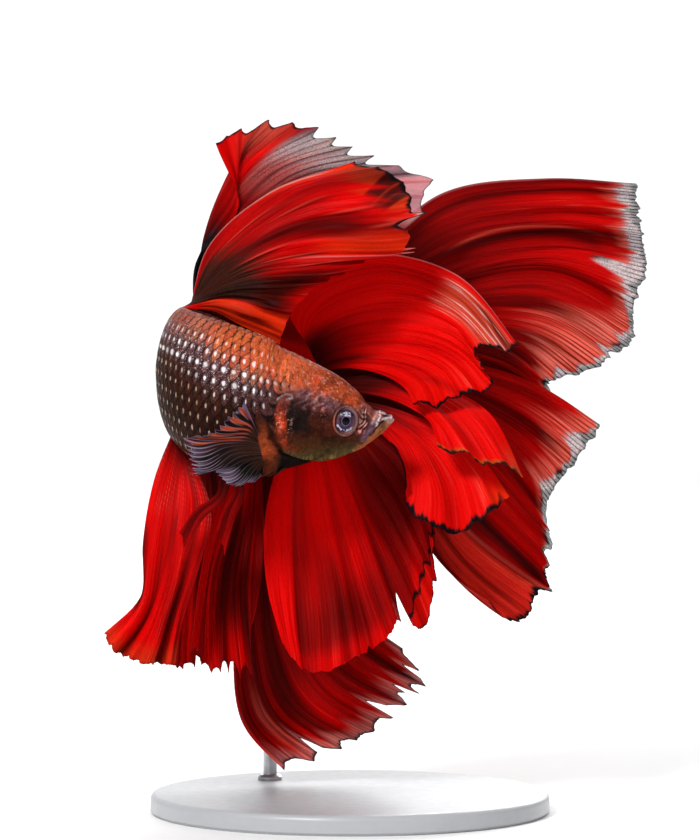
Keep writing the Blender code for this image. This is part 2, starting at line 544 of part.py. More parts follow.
def rod_path(start_z, end_y):
    """Up beside the tail, then round a quarter bend towards it."""
    path = [(ROD_X, ROD_Y, start_z), (ROD_X, ROD_Y, ROD_TOP - ROD_BEND)]
    for k in range(1, 7):
        a = math.pi / 2 * k / 6
        y = ROD_Y - ROD_BEND * (1 - math.cos(a))
        path.append((ROD_X, y, ROD_TOP - ROD_BEND + ROD_BEND * math.sin(a)))
    path.append((ROD_X, end_y, ROD_TOP))
    return path


def build_stand(tail, white, steel):
    edge = BASE_EDGE
    profile = [
        (BASE_RADIUS - edge / 2, 0.0),
        (BASE_RADIUS, edge / 2),
        (BASE_RADIUS, BASE_THICKNESS - edge),
        (BASE_RADIUS - 0.3 * edge, BASE_THICKNESS - 0.3 * edge),
        (BASE_RADIUS - edge, BASE_THICKNESS),
    ]
    base = turned("stand_base", profile, 44, white)
    socket = [(ROD_X, ROD_Y, 1.0), (ROD_X, ROD_Y, BASE_THICKNESS + 1.0)]
    cut(base, pipe("rod_hole", socket, ROD_RADIUS + 0.15, 20, steel))
    pipe("stand_rod", rod_path(1.15, ROD_END_Y), ROD_RADIUS, 12, steel)
    pin = [(ROD_X, ROD_Y + 2.0, ROD_TOP), (ROD_X, ROD_END_Y - 0.2, ROD_TOP)]
    cut(tail, pipe("pin_hole", pin, ROD_RADIUS + 0.2, 20, steel))


def main():
    for obj in list(bpy.data.objects):
        bpy.data.objects.remove(obj, do_unlink=True)
    skin = finish("skin_brown", (0.16, 0.055, 0.035), 0.35)
    eye = finish("eye_dark", (0.03, 0.02, 0.05), 0.08)
    red = finish("fin_red", (0.72, 0.01, 0.008), 0.45)
    dark_red = finish("fin_dark_red", (0.38, 0.008, 0.008), 0.45)
    lilac = finish("fin_lilac", (0.30, 0.22, 0.30), 0.45)
    white = finish("stand_white", (0.85, 0.85, 0.84), 0.4)
    steel = finish("stand_steel", (0.62, 0.62, 0.64), 0.3, 1.0)
    tail = build_body(skin, eye)
    build_dorsal_fin(red, dark_red)
    build_tail_fin(red, dark_red)
    build_anal_fin(red, dark_red)
    build_paired_fins(red, lilac)
    fish = bpy.data.objects.new("fish", None)
    bpy.context.scene.collection.objects.link(fish)
    for obj in list(bpy.context.scene.collection.objects):
        if obj != fish:
            obj.parent = fish
    fish.location.z = -FISH_DROP * MM
    build_stand(tail, white, steel)


main()
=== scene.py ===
"""Looks of the betta fish model: skin, scales, eyes, ruffled fins and its display stand.

The fish swims with its head to +X and its right side to -Y, and bends in a C. Lengths are in millimetres
until they become mesh points; lights and the camera are in metres. Body stations and fin rays repeat the
construction's.

Across a fin, u runs from 0 at its first ray to 1 at its last. Out along the rays, v runs from 0 at the root
to 1 at the tips. On the body, s is the distance from the lips, and t runs from -1 at the belly to 1 at the
back.
"""

import math

import bmesh
import bpy
import numpy as np
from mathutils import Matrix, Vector


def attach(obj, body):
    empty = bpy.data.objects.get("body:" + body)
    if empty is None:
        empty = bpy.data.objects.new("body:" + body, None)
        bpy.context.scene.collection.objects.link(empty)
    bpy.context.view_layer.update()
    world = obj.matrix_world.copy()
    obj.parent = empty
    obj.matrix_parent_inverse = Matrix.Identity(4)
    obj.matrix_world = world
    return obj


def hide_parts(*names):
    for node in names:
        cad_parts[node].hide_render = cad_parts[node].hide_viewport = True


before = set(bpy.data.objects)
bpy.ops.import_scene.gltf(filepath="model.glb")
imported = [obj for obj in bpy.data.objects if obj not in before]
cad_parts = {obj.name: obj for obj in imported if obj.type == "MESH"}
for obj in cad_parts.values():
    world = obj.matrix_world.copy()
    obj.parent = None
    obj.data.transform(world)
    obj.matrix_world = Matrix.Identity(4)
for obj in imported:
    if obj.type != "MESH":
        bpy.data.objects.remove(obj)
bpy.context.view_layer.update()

MM = 0.001
TURN = 2 * math.pi

# How far the fish is lowered on to its rod, and how deep the fins' roots lie in the body
FISH_DROP = 0.3
FIN_GAP = 0.1

BASE_RADIUS = 20.0
BASE_THICKNESS = 2.0
BASE_EDGE = 0.6
BASE_FOOT = 0.3
ROD_RADIUS = 0.7
ROD_X = -8.2
ROD_Y = 10.6
ROD_FOOT = 1.2
ROD_TOP = 42.0
ROD_BEND = 2.0
ROD_END_Y = 7.7
COLLAR_SIZE = 0.55
COLLAR_BEVEL = 0.20
SHARP_EDGE = math.radians(40)

# The eye: its radius, its length against its height, where it lies, and how far it bulges against its radius
EYE_RADIUS = 1.5
EYE_LENGTH = 0.90
EYE_STATION = 5.05
EYE_RISE = 0.2
EYE_DEPTH = 0.72
EYE_BULGE = 1.11

# How far the skin lies inside the solids' surface, which the scales reach up to, and how many points it has
SKIN_DEPTH = 0.08
SKIN_AROUND = 250
SKIN_HEAD_ROWS = 230
SKIN_BODY_ROWS = 150
HEAD_END = 12.6

# Scales stand in rows round the body. Each rises from its root below the skin to its free edge, and they vary
# a little in how far they rise.
HALF_GIRTH = 16.6
SCALE_ROW = 1.30
SCALE_STEP = 0.77
SCALE_LENGTH = 1.72 * SCALE_STEP
SCALE_OVERLAP = 1.04
SCALE_THICKNESS = 0.05
SCALE_ROOT_DEPTH = 0.24
SCALE_RISE = 0.235
SCALE_TILT = 0.010
SCALE_DOME = 0.035
SCALE_TIP_DROP = 0.02
SCALE_TIP_WIDTH = 0.16
SCALE_GRID = (8, 9)
SCALE_SEED = 4
SCALES_PART_AT = 22.0

# How deep the tail fin's roots lie in the body's end, how far to each side, and their share of its height
TAIL_ROOT_DEPTH = 0.3
TAIL_LAYER = 0.3
TAIL_ROOT_SHARE = 0.93

# The fin sheets' thickness, how high a ray stands, and the longest ray against the drawn one
FIN_EDGE_THICKNESS = 0.05
FIN_THICKNESS = 0.26
RAY_RIDGE = 0.013
LONGEST_REACH = 1.3

# How far the lips roll out over the closed mouth
LIP_ROLL = 0.20

# Stations along the body: x, y, z of its middle line, then the height of the back above it,
# the depth of the belly below it, and half its width.
BODY = {
    "lips": (4.15, -7.20, 39.85, 0.50, 0.50, 0.45),
    "snout": (3.10, -7.30, 39.40, 1.20, 1.15, 1.10),
    "brow": (1.50, -7.45, 39.30, 2.25, 2.15, 1.75),
    "eye": (-0.40, -7.70, 39.60, 3.60, 3.45, 2.40),
    "cheek": (-2.90, -7.95, 40.10, 4.75, 4.65, 2.90),
    "gill": (-6.00, -8.15, 40.55, 5.85, 5.90, 3.20),
    "shoulder": (-8.80, -8.20, 40.90, 6.85, 6.75, 3.35),
    "chest": (-11.40, -7.75, 41.70, 7.15, 7.00, 3.35),
    "flank": (-14.50, -5.60, 43.00, 7.05, 6.85, 3.15),
    "bend": (-16.65, -1.20, 44.30, 6.60, 6.40, 2.70),
    "rump": (-15.50, 3.30, 44.50, 6.00, 5.90, 2.50),
    "tail": (-12.10, 6.10, 43.50, 5.25, 5.25, 2.00),
    "peduncle": (-8.60, 7.40, 42.40, 4.70, 4.65, 1.50),
    "root": (-5.20, 8.10, 41.70, 4.40, 4.40, 0.95),
}

# Fin rays. Each starts at a root and passes through the points that follow, out to its tip.
DORSAL_FRONT = (
    (25.2, (-13.6, -1.0, 50.5), (-10.6, -1.4, 48.9), (-7.4, -2.0, 47.2)),
    (25.6, (-13.4, -1.5, 51.6), (-9.6, -2.2, 51.3), (-5.9, -2.6, 50.4)),
    (26.0, (-12.8, -1.9, 52.3), (-7.9, -3.0, 52.8), (-2.7, -3.6, 53.3)),
    (26.5, (-12.2, -2.2, 53.0), (-5.8, -3.6, 54.4), (1.2, -4.4, 55.2)),
    (27.0, (-11.6, -2.4, 53.9), (-4.0, -4.0, 56.4), (5.1, -5.0, 56.4)),
    (27.5, (-11.6, -2.4, 55.0), (-3.5, -4.2, 59.4), (6.3, -5.2, 60.3)),
    (28.0, (-12.4, -2.2, 56.0), (-4.5, -4.0, 61.8), (5.2, -5.0, 63.4)),
    (28.5, (-14.0, -1.6, 57.0), (-8.0, -2.6, 62.5), (0.2, -3.6, 65.4)),
)
DORSAL_REAR = (
    (29.0, (-15.3, 0.4, 55.4), (-11.3, 1.8, 60.6), (-13.4, 0.8, 66.8)),
    (29.5, (-14.7, 0.9, 56.8), (-11.5, 2.2, 62.8), (-11.0, 1.9, 68.4)),
    (30.0, (-14.6, 1.2, 57.8), (-12.0, 2.4, 64.4), (-8.3, 2.6, 69.4)),
    (30.4, (-14.4, 1.4, 58.0), (-11.2, 2.6, 64.4), (-6.0, 3.0, 69.2)),
    (30.8, (-14.1, 1.6, 57.9), (-10.4, 2.8, 64.3), (-3.3, 3.4, 68.8)),
    (31.2, (-13.8, 1.8, 57.7), (-9.5, 2.9, 64.1), (-1.7, 3.6, 67.8)),
    (31.6, (-13.5, 1.9, 57.4), (-8.4, 3.0, 63.8), (0.0, 3.7, 66.9)),
    (32.0, (-13.2, 2.0, 57.0), (-6.8, 3.0, 63.4), (2.2, 3.8, 66.0)),
    (32.4, (-12.8, 2.1, 56.5), (-5.0, 3.0, 63.0), (4.6, 3.7, 65.1)),
    (32.8, (-12.4, 2.2, 56.0), (-2.8, 3.0, 62.2), (8.1, 3.5, 63.5)),
    (33.2, (-12.0, 2.3, 55.4), (-2.0, 2.7, 60.6), (7.0, 2.6, 60.2)),
    (34.4, (-9.8, 3.6, 51.6), (-6.2, 3.5, 52.2), (-2.2, 2.7, 52.8)),
    (35.6, (-9.6, 4.3, 48.4), (-7.0, 3.7, 46.8), (-4.4, 3.4, 45.0)),
)
TAIL_UPPER_FRONT = (
    (0.02, (-7.4, 5.6, 51.0), (-0.6, 4.6, 55.8), (10.5, 1.8, 54.2), (17.1, -0.5, 46.8)),
    (0.07, (-4.6, 5.6, 50.2), (2.4, 3.8, 53.8), (10.8, 0.6, 51.2), (15.0, -1.4, 46.5)),
    (0.12, (-2.6, 5.4, 48.8), (4.2, 2.8, 50.8), (10.4, -0.2, 49.0), (12.7, -2.2, 46.4)),
    (0.17, (-1.2, 5.2, 47.3), (5.3, 2.2, 48.2), (10.7, -1.4, 46.4), (13.9, -3.4, 43.3)),
    (0.22, (-0.5, 5.2, 45.9), (5.0, 2.0, 46.0), (9.2, -1.6, 44.2), (10.6, -3.8, 41.9)),
    (0.27, (-0.2, 5.2, 44.7), (3.4, 2.6, 44.0), (5.6, -0.6, 42.6), (6.3, -3.0, 41.1)),
)
TAIL_FRILL_UPPER = (
    (0.34, (1.8, 5.0, 43.9), (8.8, 0.9, 43.0), (13.8, -3.0, 40.6), (17.2, -5.6, 34.7)),
    (0.39, (1.5, 4.9, 43.3), (7.8, 0.7, 42.2), (11.6, -3.6, 39.8), (14.7, -6.2, 35.3)),
    (0.44, (1.2, 4.8, 42.7), (6.8, 0.5, 41.6), (9.6, -3.8, 39.4), (11.8, -6.2, 36.1)),
    (0.49, (0.8, 4.7, 42.2), (5.8, 0.3, 41.0), (8.0, -3.6, 39.4), (8.6, -5.6, 37.2)),
)
TAIL_FRILL_LOWER = (
    (0.54, (1.0, 4.3, 41.4), (7.8, 1.2, 39.4), (13.2, -1.6, 35.8), (16.3, -3.6, 31.6)),
    (0.58, (0.8, 4.2, 41.0), (7.0, 0.8, 38.6), (11.2, -2.4, 34.6), (13.2, -4.8, 29.8)),
    (0.62, (0.5, 4.1, 40.7), (6.2, 0.6, 38.0), (9.0, -2.8, 33.4), (9.6, -5.2, 28.5)),
    (0.66, (0.2, 4.0, 40.4), (5.2, 0.4, 37.6), (7.0, -2.8, 33.4), (6.7, -5.0, 29.9)),
    (0.70, (-0.2, 3.9, 40.1), (4.0, 0.2, 37.4), (5.2, -2.4, 35.4), (5.4, -4.4, 32.9)),
)
TAIL_NEAR = (
    (0.77, (1.4, 5.6, 39.6), (5.4, 3.4, 38.2), (8.2, 1.8, 33.4), (8.6, 0.4, 28.4)),
    (0.80, (0.2, 5.0, 38.6), (3.9, 2.6, 35.0), (6.9, 1.0, 29.6), (8.2, -0.4, 25.1)),
    (0.83, (-0.8, 4.4, 37.9), (2.8, 1.8, 32.6), (6.0, 0.4, 26.4), (8.6, -1.0, 21.8)),
    (0.86, (-1.6, 3.8, 37.3), (1.8, 1.2, 31.0), (4.8, 0.0, 24.3), (7.2, -1.2, 18.4)),
    (0.89, (-2.2, 3.3, 37.0), (0.9, 0.8, 30.4), (3.4, -0.4, 23.6), (5.2, -1.2, 19.4)),
    (0.92, (-2.9, 3.0, 36.7), (-0.5, 0.4, 29.6), (1.6, -0.9, 22.6), (3.6, -1.9, 17.6)),
    (0.94, (-3.7, 2.8, 36.5), (-2.0, 0.1, 29.1), (-0.4, -1.3, 21.9), (0.8, -2.7, 16.2)),
    (0.96, (-4.6, 2.7, 36.3), (-3.8, -0.1, 29.1), (-3.0, -1.5, 21.5), (-2.3, -3.1, 14.7)),
    (0.98, (-5.6, 2.7, 36.3), (-6.0, -0.2, 29.1), (-5.8, -1.6, 21.4), (-5.0, -3.2, 15.0)),
    (1.00, (-6.9, 2.8, 36.3), (-8.5, -0.2, 29.6), (-8.2, -1.8, 22.6), (-6.7, -3.0, 17.6)),
)
TAIL_FAR = (
    (0.02, (0.0, 9.5, 52.6), (9.2, 11.0, 62.3), (20.0, 12.0, 63.9), (29.5, 12.5, 63.3)),
    (0.09, (1.0, 9.6, 51.3), (10.2, 11.5, 58.6), (20.6, 12.8, 60.2), (30.3, 13.2, 59.5)),
    (0.16, (1.5, 9.6, 50.4), (10.7, 11.6, 55.5), (21.0, 13.2, 57.0), (30.6, 13.8, 55.6)),
    (0.23, (1.8, 9.5, 49.6), (10.9, 11.2, 53.1), (20.7, 12.8, 54.0), (29.1, 13.2, 50.2)),
    (0.30, (2.0, 9.4, 48.6), (10.6, 10.6, 51.1), (20.0, 12.0, 51.2), (29.4, 12.6, 46.5)),
    (0.37, (2.0, 9.2, 47.6), (10.0, 10.0, 49.2), (18.2, 10.6, 48.4), (25.6, 11.4, 44.3)),
    (0.44, (2.0, 8.9, 46.5), (9.2, 9.2, 47.2), (15.4, 9.4, 45.8), (19.9, 9.6, 42.5)),
    (0.50, (2.1, 8.7, 45.4), (9.3, 8.4, 45.4), (17.5, 8.2, 43.2), (25.4, 7.6, 38.6)),
    (0.57, (2.0, 8.5, 44.2), (9.0, 7.8, 43.2), (16.4, 7.2, 39.6), (22.7, 6.6, 35.1)),
    (0.63, (1.8, 8.4, 43.2), (8.2, 7.4, 41.2), (14.7, 6.6, 36.4), (20.2, 5.8, 30.1)),
    (0.70, (1.5, 8.3, 42.2), (7.5, 7.0, 39.4), (13.7, 6.2, 33.4), (20.8, 5.4, 26.6)),
    (0.77, (1.2, 8.2, 41.2), (6.8, 6.8, 37.8), (12.8, 5.8, 30.8), (20.1, 4.8, 23.7)),
    (0.83, (1.0, 8.1, 40.3), (6.0, 6.4, 36.2), (12.4, 5.0, 28.6), (21.0, 3.8, 22.1)),
    (0.88, (0.7, 8.0, 39.6), (5.5, 6.0, 34.8), (11.4, 4.6, 26.4), (19.4, 3.4, 20.4)),
    (0.93, (0.4, 8.0, 39.1), (5.0, 5.9, 33.8), (10.4, 4.5, 25.0), (17.6, 3.2, 18.8)),
    (0.98, (0.0, 8.0, 38.6), (4.4, 5.8, 32.8), (9.2, 4.4, 25.0), (14.3, 3.4, 20.7)),
)
ANAL_FRONT = (
    (19.8, (-13.7, -5.8, 30.3), (-15.0, -6.2, 25.0), (-16.4, -6.2, 20.6), (-17.3, -6.0, 15.8)),
    (21.2, (-15.5, -5.8, 30.4), (-16.6, -6.5, 25.0), (-18.0, -6.7, 20.4), (-19.4, -6.6, 15.7)),
    (22.7, (-17.2, -5.6, 30.8), (-18.1, -6.5, 25.6), (-19.4, -6.8, 20.8), (-21.8, -6.8, 15.9)),
    (24.2, (-18.5, -5.0, 31.8), (-19.4, -6.1, 26.2), (-20.0, -6.5, 21.8), (-23.5, -6.7, 16.5)),
    (25.6, (-19.5, -4.0, 33.4), (-20.5, -5.2, 27.2), (-20.5, -5.8, 22.6), (-24.6, -6.0, 18.2)),
)
ANAL_MIDDLE = (
    (26.4, (-18.5, 0.0, 31.6), (-19.0, 1.2, 24.1), (-20.0, 2.0, 17.6)),
    (29.4, (-16.5, 3.4, 31.1), (-17.0, 4.2, 23.6), (-17.5, 4.6, 16.6)),
    (32.2, (-14.0, 5.8, 31.1), (-14.5, 6.4, 23.1), (-15.0, 6.4, 16.1)),
    (34.8, (-11.8, 7.4, 31.1), (-12.7, 8.0, 22.8), (-13.3, 7.8, 15.4)),
)
ANAL_INNER = (
    (35.8, (-13.6, 1.8, 31.0), (-15.0, -0.6, 23.6), (-16.0, -1.5, 16.5)),
    (36.4, (-11.8, 3.2, 31.6), (-13.5, 0.2, 24.1), (-13.8, -1.6, 14.2)),
    (37.0, (-10.8, 3.4, 31.6), (-12.0, 0.5, 23.8), (-12.0, -1.5, 14.3)),
    (37.6, (-9.8, 3.7, 31.6), (-10.6, 0.8, 23.8), (-9.8, -1.2, 13.0)),
    (38.2, (-8.8, 4.0, 31.9), (-8.8, 1.2, 25.1), (-10.3, -0.6, 15.3)),
)
ANAL_REAR = (
    (38.8, (-10.7, 7.6, 26.6), (-11.9, 7.4, 15.6), (-11.0, 7.0, 8.6), (-6.1, 6.4, 3.1)),
    (39.3, (-9.3, 7.8, 26.8), (-9.0, 7.8, 16.8), (-6.7, 7.6, 10.2), (-0.5, 7.0, 5.7)),
    (39.8, (-8.3, 8.0, 27.4), (-6.6, 8.0, 18.2), (-3.1, 7.8, 12.0), (3.0, 7.2, 7.6)),
    (40.2, (-7.6, 8.1, 28.2), (-4.9, 8.1, 20.2), (-0.5, 8.0, 14.4), (6.4, 7.4, 10.4)),
    (40.6, (-7.1, 8.2, 29.0), (-3.6, 8.2, 21.8), (1.5, 8.1, 16.2), (8.3, 7.6, 11.8)),
    (41.0, (-6.6, 8.2, 30.0), (-2.9, 8.2, 23.8), (1.2, 8.1, 19.2), (5.9, 7.8, 15.7)),
)
PECTORAL_RIGHT = (
    ((-8.5, 38.6), (-9.6, -12.4, 40.2), (-10.3, -12.8, 41.8)),
    ((-8.5, 38.2), (-10.4, -12.8, 39.2), (-12.1, -13.2, 40.0)),
    ((-8.4, 37.8), (-11.2, -13.0, 38.4), (-14.0, -13.2, 38.6)),
    ((-8.3, 37.4), (-12.4, -12.9, 37.7), (-16.5, -12.4, 38.1)),
    ((-8.2, 37.0), (-12.3, -12.8, 36.7), (-16.0, -12.2, 36.1)),
    ((-8.1, 36.6), (-11.8, -12.6, 35.8), (-15.4, -12.0, 34.8)),
    ((-8.0, 36.2), (-10.8, -12.4, 35.5), (-13.2, -12.0, 35.0)),
    ((-8.0, 35.9), (-10.0, -12.1, 34.9), (-12.0, -11.8, 33.8)),
    ((-7.9, 35.6), (-9.2, -11.8, 34.7), (-10.5, -11.6, 33.6)),
    ((-7.9, 35.3), (-8.6, -11.5, 34.7), (-9.2, -11.4, 34.0)),
)
PECTORAL_LEFT = (
    ((-8.7, 38.6), (-9.0, -3.2, 40.0), (-9.4, -1.6, 41.4)),
    ((-8.7, 37.8), (-9.2, -2.4, 38.6), (-9.8, -0.2, 39.2)),
    ((-8.6, 37.0), (-9.2, -2.2, 37.4), (-9.8, 0.4, 37.4)),
    ((-8.5, 36.2), (-8.9, -2.4, 36.2), (-9.4, 0.2, 35.6)),
    ((-8.4, 35.6), (-8.5, -2.8, 35.0), (-8.8, -0.6, 34.0)),
)
PELVIC_RIGHT = (
    ((-9.6, -8.9), (-12.4, -8.4, 32.0), (-14.4, -8.0, 30.2), (-16.2, -7.8, 26.2)),
    ((-10.1, -9.1), (-12.7, -8.7, 32.4), (-14.8, -8.4, 30.6), (-16.4, -8.2, 27.4)),
    ((-10.6, -9.1), (-13.0, -8.9, 32.8), (-15.1, -8.7, 31.2), (-16.8, -8.6, 28.8)),
)
PELVIC_LEFT = (
    ((-9.6, -7.1), (-10.4, -6.4, 32.6), (-11.4, -5.9, 30.0), (-12.4, -5.6, 26.4)),
    ((-10.1, -6.9), (-10.9, -6.1, 32.9), (-11.9, -5.6, 30.6), (-12.8, -5.2, 27.6)),
    ((-10.6, -6.9), (-11.4, -5.9, 33.2), (-12.4, -5.3, 31.2), (-13.2, -4.8, 28.8)),
)

# How broad the far tail's grey fringe is, in mm, at each share across it
FRINGE = (
    (0.0, 3.0), (0.04, 2.4), (0.088, 1.8), (0.14, 2.0), (0.19, 1.7), (0.242, 0.9), (0.275, 0.8),
    (0.307, 1.5), (0.35, 1.3), (0.378, 1.0), (0.42, 0.9), (0.463, 0.5), (0.55, 0.35), (0.58, 1.3),
    (0.61, 2.4), (0.635, 0.7), (0.66, 0.6), (0.69, 2.0), (0.72, 0.6), (0.775, 0.6), (0.82, 0.25), (1.0, 0.1),
)

# Colours, linear
RED = (0.80, 0.0008, 0.0008)
DEEP_RED = (0.36, 0.0015, 0.0015)
MAROON = (0.085, 0.0012, 0.0012)
FLAME = (0.90, 0.035, 0.004)
# PINK is used for painted highlights along edges and fold lines
PINK = (0.75, 0.26, 0.24)
GREY = (0.62, 0.50, 0.50)
BLACK = (0.006, 0.004, 0.006)
OLIVE = (0.050, 0.013, 0.005)
LILAC = (0.30, 0.23, 0.33)
LILAC_RAY = (0.34, 0.26, 0.36)
# Painted shade in the crease behind the lips
MOUTH_CREASE_SHADE = (0.020, 0.006, 0.005)

# Colours of the fish's flank from belly to back, and the same of its head
FLANK_COLOURS = (
    (-1.0, (0.050, 0.012, 0.005)),
    (-0.45, (0.025, 0.0065, 0.0028)),
    (-0.05, (0.040, 0.010, 0.005)),
    (0.14, (0.072, 0.026, 0.024)),
    (0.42, (0.125, 0.048, 0.048)),
    (0.54, (0.46, 0.110, 0.050)),
    (0.70, (0.62, 0.115, 0.035)),
    (1.0, (0.58, 0.105, 0.035)),
)
HEAD_COLOURS = (
    (-1.0, (0.045, 0.030, 0.011)),
    (-0.80, (0.075, 0.048, 0.014)),
    (-0.60, (0.045, 0.018, 0.005)),
    (-0.30, (0.052, 0.009, 0.003)),
    (0.0, (0.048, 0.010, 0.005)),
    (0.28, (0.082, 0.022, 0.020)),
    (0.40, (0.17, 0.058, 0.054)),
    (0.52, (0.40, 0.062, 0.020)),
    (0.975, (0.42, 0.064, 0.020)),
    (1.0, (0.50, 0.32, 0.32)),
)

# Lines on the side of the head, as distances from the lips and heights from the middle line
UPPER_LIP = ((1.54, 1.39), (0.76, 1.31), (0.38, 0.96), (0.07, 0.60))
LIP_BACK = ((0.93, 1.17), (1.25, 0.82), (1.62, 0.49), (1.78, 0.11))
LOWER_LIP = ((-0.1, 0.20), (0.42, 0.41), (0.96, 0.52))
MOUTH_OPENING = ((0.20, 0.62), (0.55, 0.80))
CREASE = ((0.0, 0.10), (0.42, 0.26), (0.85, 0.36), (1.31, 0.24), (1.65, -0.05), (1.96, -0.42), (2.27, -0.96))
PINK_BAND = ((1.52, 1.25), (1.92, 0.80), (2.26, 0.33))
JAW_BONE = ((2.22, 0.10), (2.42, -0.22), (2.68, -0.62), (3.02, -1.30))
CHEEK_EDGE = ((10.5, -3.72), (9.6, -3.98), (8.8, -4.14), (6.5, -4.02), (4.3, -3.02), (2.8, -2.02))
GILL_CURL = ((11.75, 1.30), (11.55, 1.62), (11.0, 1.90), (10.5, 1.82), (10.35, 1.58), (10.9, 1.40))

# The gill cover's rear edge: heights t, and distances from the lips
GILL_REAR = (
    (-0.90, 7.4), (-0.78, 8.8), (-0.72, 9.6), (-0.64, 10.35), (-0.42, 11.40), (-0.04, 11.88), (0.23, 11.60),
    (0.34, 10.9),
)


# ---------------------------------------------------------------- curves and the body's surface


def through(knots, values, at):
    """Smooth curve through the values given at the knots, read at other places."""
    knots = np.asarray(knots, float)
    values = np.asarray(values, float)
    at = np.atleast_1d(np.asarray(at, float))
    shape = (-1, *[1] * (values.ndim - 1))
    steps = np.diff(knots)
    slopes = np.diff(values, axis=0) / steps.reshape(shape)
    share = (steps[:-1] / (steps[:-1] + steps[1:])).reshape(shape)
    inner = slopes[:-1] * (1 - share) + slopes[1:] * share
    tangents = np.concatenate([slopes[:1], inner, slopes[-1:]])
    cell = np.clip(np.searchsorted(knots, at, side="right") - 1, 0, len(steps) - 1)
    t = ((at - knots[cell]) / steps[cell]).reshape(shape)
    h = steps[cell].reshape(shape)
    return (
        values[cell] * (2 * t**3 - 3 * t**2 + 1)
        + tangents[cell] * h * (t**3 - 2 * t**2 + t)
        + values[cell + 1] * (3 * t**2 - 2 * t**3)
        + tangents[cell + 1] * h * (t**3 - t**2)
    )


def unit(vectors):
    """The vectors brought to a length of 1."""
    return vectors / (np.linalg.norm(vectors, axis=-1, keepdims=True) + 1e-12)


def runs(points):
    """Distances along a line of points from its first one."""
    steps = np.linalg.norm(np.diff(points, axis=0), axis=-1)
    return np.concatenate([np.zeros_like(steps[:1]), np.cumsum(steps, axis=0)])


def smooth(low, high, x):
    """0 up to low, 1 from high on."""
    t = np.clip((x - low) / (high - low), 0, 1)
    return t * t * (3 - 2 * t)


def fade(low, high, x):
    """1 up to low, 0 from high on."""
    return 1 - smooth(low, high, x)


def band(x, start, full, last, end):
    """1 from full to last, and 0 before start and after end."""
    return smooth(start, full, x) * fade(last, end, x)


def bump(x, centre, width):
    """1 at the centre, falling off to both sides over about the width."""
    return np.exp(-(((x - centre) / width) ** 2))


def spot(x, y, width):
    """The same round the point where x and y are 0."""
    return bump(np.hypot(x, y), 0.0, width)


def share_of(x):
    """A value held between 0 and 1."""
    return np.clip(x, 0, 1)


def mixed(a, b, share):
    """The colour a with a share of the colour b."""
    share = np.asarray(share)[..., None]
    return np.asarray(a) * (1 - share) + np.asarray(b) * share


def layered(tint, *layers):
    """A colour with others laid over it in turn, each given with the share that it covers."""
    for colour, share in layers:
        tint = mixed(tint, colour, share)
    return tint


def noise(x, seed, octaves=3):
    """Smooth repeatable noise of one variable, within about -1 to 1."""
    rng = np.random.default_rng(seed)
    total = np.zeros_like(x, float)
    size = 1.0
    for octave in range(octaves):
        knots = rng.uniform(-1, 1, 512)
        place = np.mod(x * 2**octave + rng.uniform(0, 100), 511)
        cell = place.astype(int)
        t = place - cell
        t = t * t * (3 - 2 * t)
        total += size * (knots[cell] * (1 - t) + knots[cell + 1] * t)
        size *= 0.5
    return total / 1.5


STATIONS = np.array(list(BODY.values()))
DISTANCES = runs(STATIONS[:, :3])
BODY_LENGTH = DISTANCES[-1]


def body_frame(s):
    """Middle line, its direction to the tail, up, the fish's left, and the sizes, at each distance s."""
    s = np.atleast_1d(np.asarray(s, float))
    found = through(DISTANCES, STATIONS, s)
    ahead, behind = (through(DISTANCES, STATIONS[:, :3], s + step) for step in (0.05, -0.05))
    along = unit(ahead - behind)
    up = unit(np.array([0.0, 0.0, 1.0]) - along * along[:, 2:3])
    return found[:, :3], along, up, np.cross(along, up), found[:, 3], found[:, 4], found[:, 5]


def body_at(s):
    """The same at a single distance."""
    return [part[0] for part in body_frame(s)]


def body_beside(x):
    """The same where the front length's middle line passes x."""
    found = body_frame(np.linspace(8, 18, 400))
    i = int(np.argmin(np.abs(found[0][:, 0] - x)))
    return [part[i] for part in found]


def section(s, angle, proud=0.0):
    """Points of the body's surface: angle 0 is the fish's left, a quarter turn is its back."""
    middle, _, up, left, above, below, width = body_frame(s)
    c, n = np.cos(angle), np.sin(angle)
    side = np.sign(c) * np.abs(c) ** np.where(n > 0, 1.18, 0.98) * (width + proud)
    rise = np.where(n > 0, above + proud, below + proud) * n
    return middle + left * side[:, None] + up * rise[:, None]


def jaw_and_lips(s, t, rise):
    """How far the head's outline moves up: the chin draws back, and the upper lip stands up behind a dip."""
    chin = np.interp(s, (0.0, 0.5, 1.2, 2.2, 3.4), (0.60, 0.52, 0.34, 0.12, 0.0)) * np.maximum(-rise, 0)
    lip = (0.36 * bump(s, 0.70, 0.48) - 0.05 * bump(s, 1.65, 0.25)) * smooth(0.35, 0.85, t)
    return chin + lip


def dorsal_root(s):
    """A root of the dorsal fin, a little inside the back."""
    middle, _, up, _, above, _, _ = body_at(s)
    return middle + up * (above - FIN_GAP)


def ventral_root(s):
    """A root of the anal fin, a little inside the belly."""
    middle, _, up, _, _, below, _ = body_at(s)
    return middle - up * (below - FIN_GAP)


def tail_root(v, layer):
    """A root of the tail fin: v from top to bottom, in the layer to the fish's left (1) or right (-1)."""
    middle, along, up, left, above, below, _ = body_at(BODY_LENGTH)
    rise = above - v * (above + below)
    return middle - along * TAIL_ROOT_DEPTH + up * rise * TAIL_ROOT_SHARE + left * layer * TAIL_LAYER


def near_tail_root(v):
    """A root of the tail fin's layer that the photograph shows in front."""
    return tail_root(v, 1)


def far_tail_root(v):
    """A root of the layer behind it."""
    return tail_root(v, -1)


def flank_root(place, side):
    """A point just under the skin of one flank, at a distance along X and a height."""
    x, z = place
    middle, _, up, left, _, below, width = body_beside(x)
    drop = (middle[2] - z) / below
    reach = width * math.sqrt(max(0.0, 1 - drop**2)) - 0.1
    return middle - up * below * drop + left * side * reach


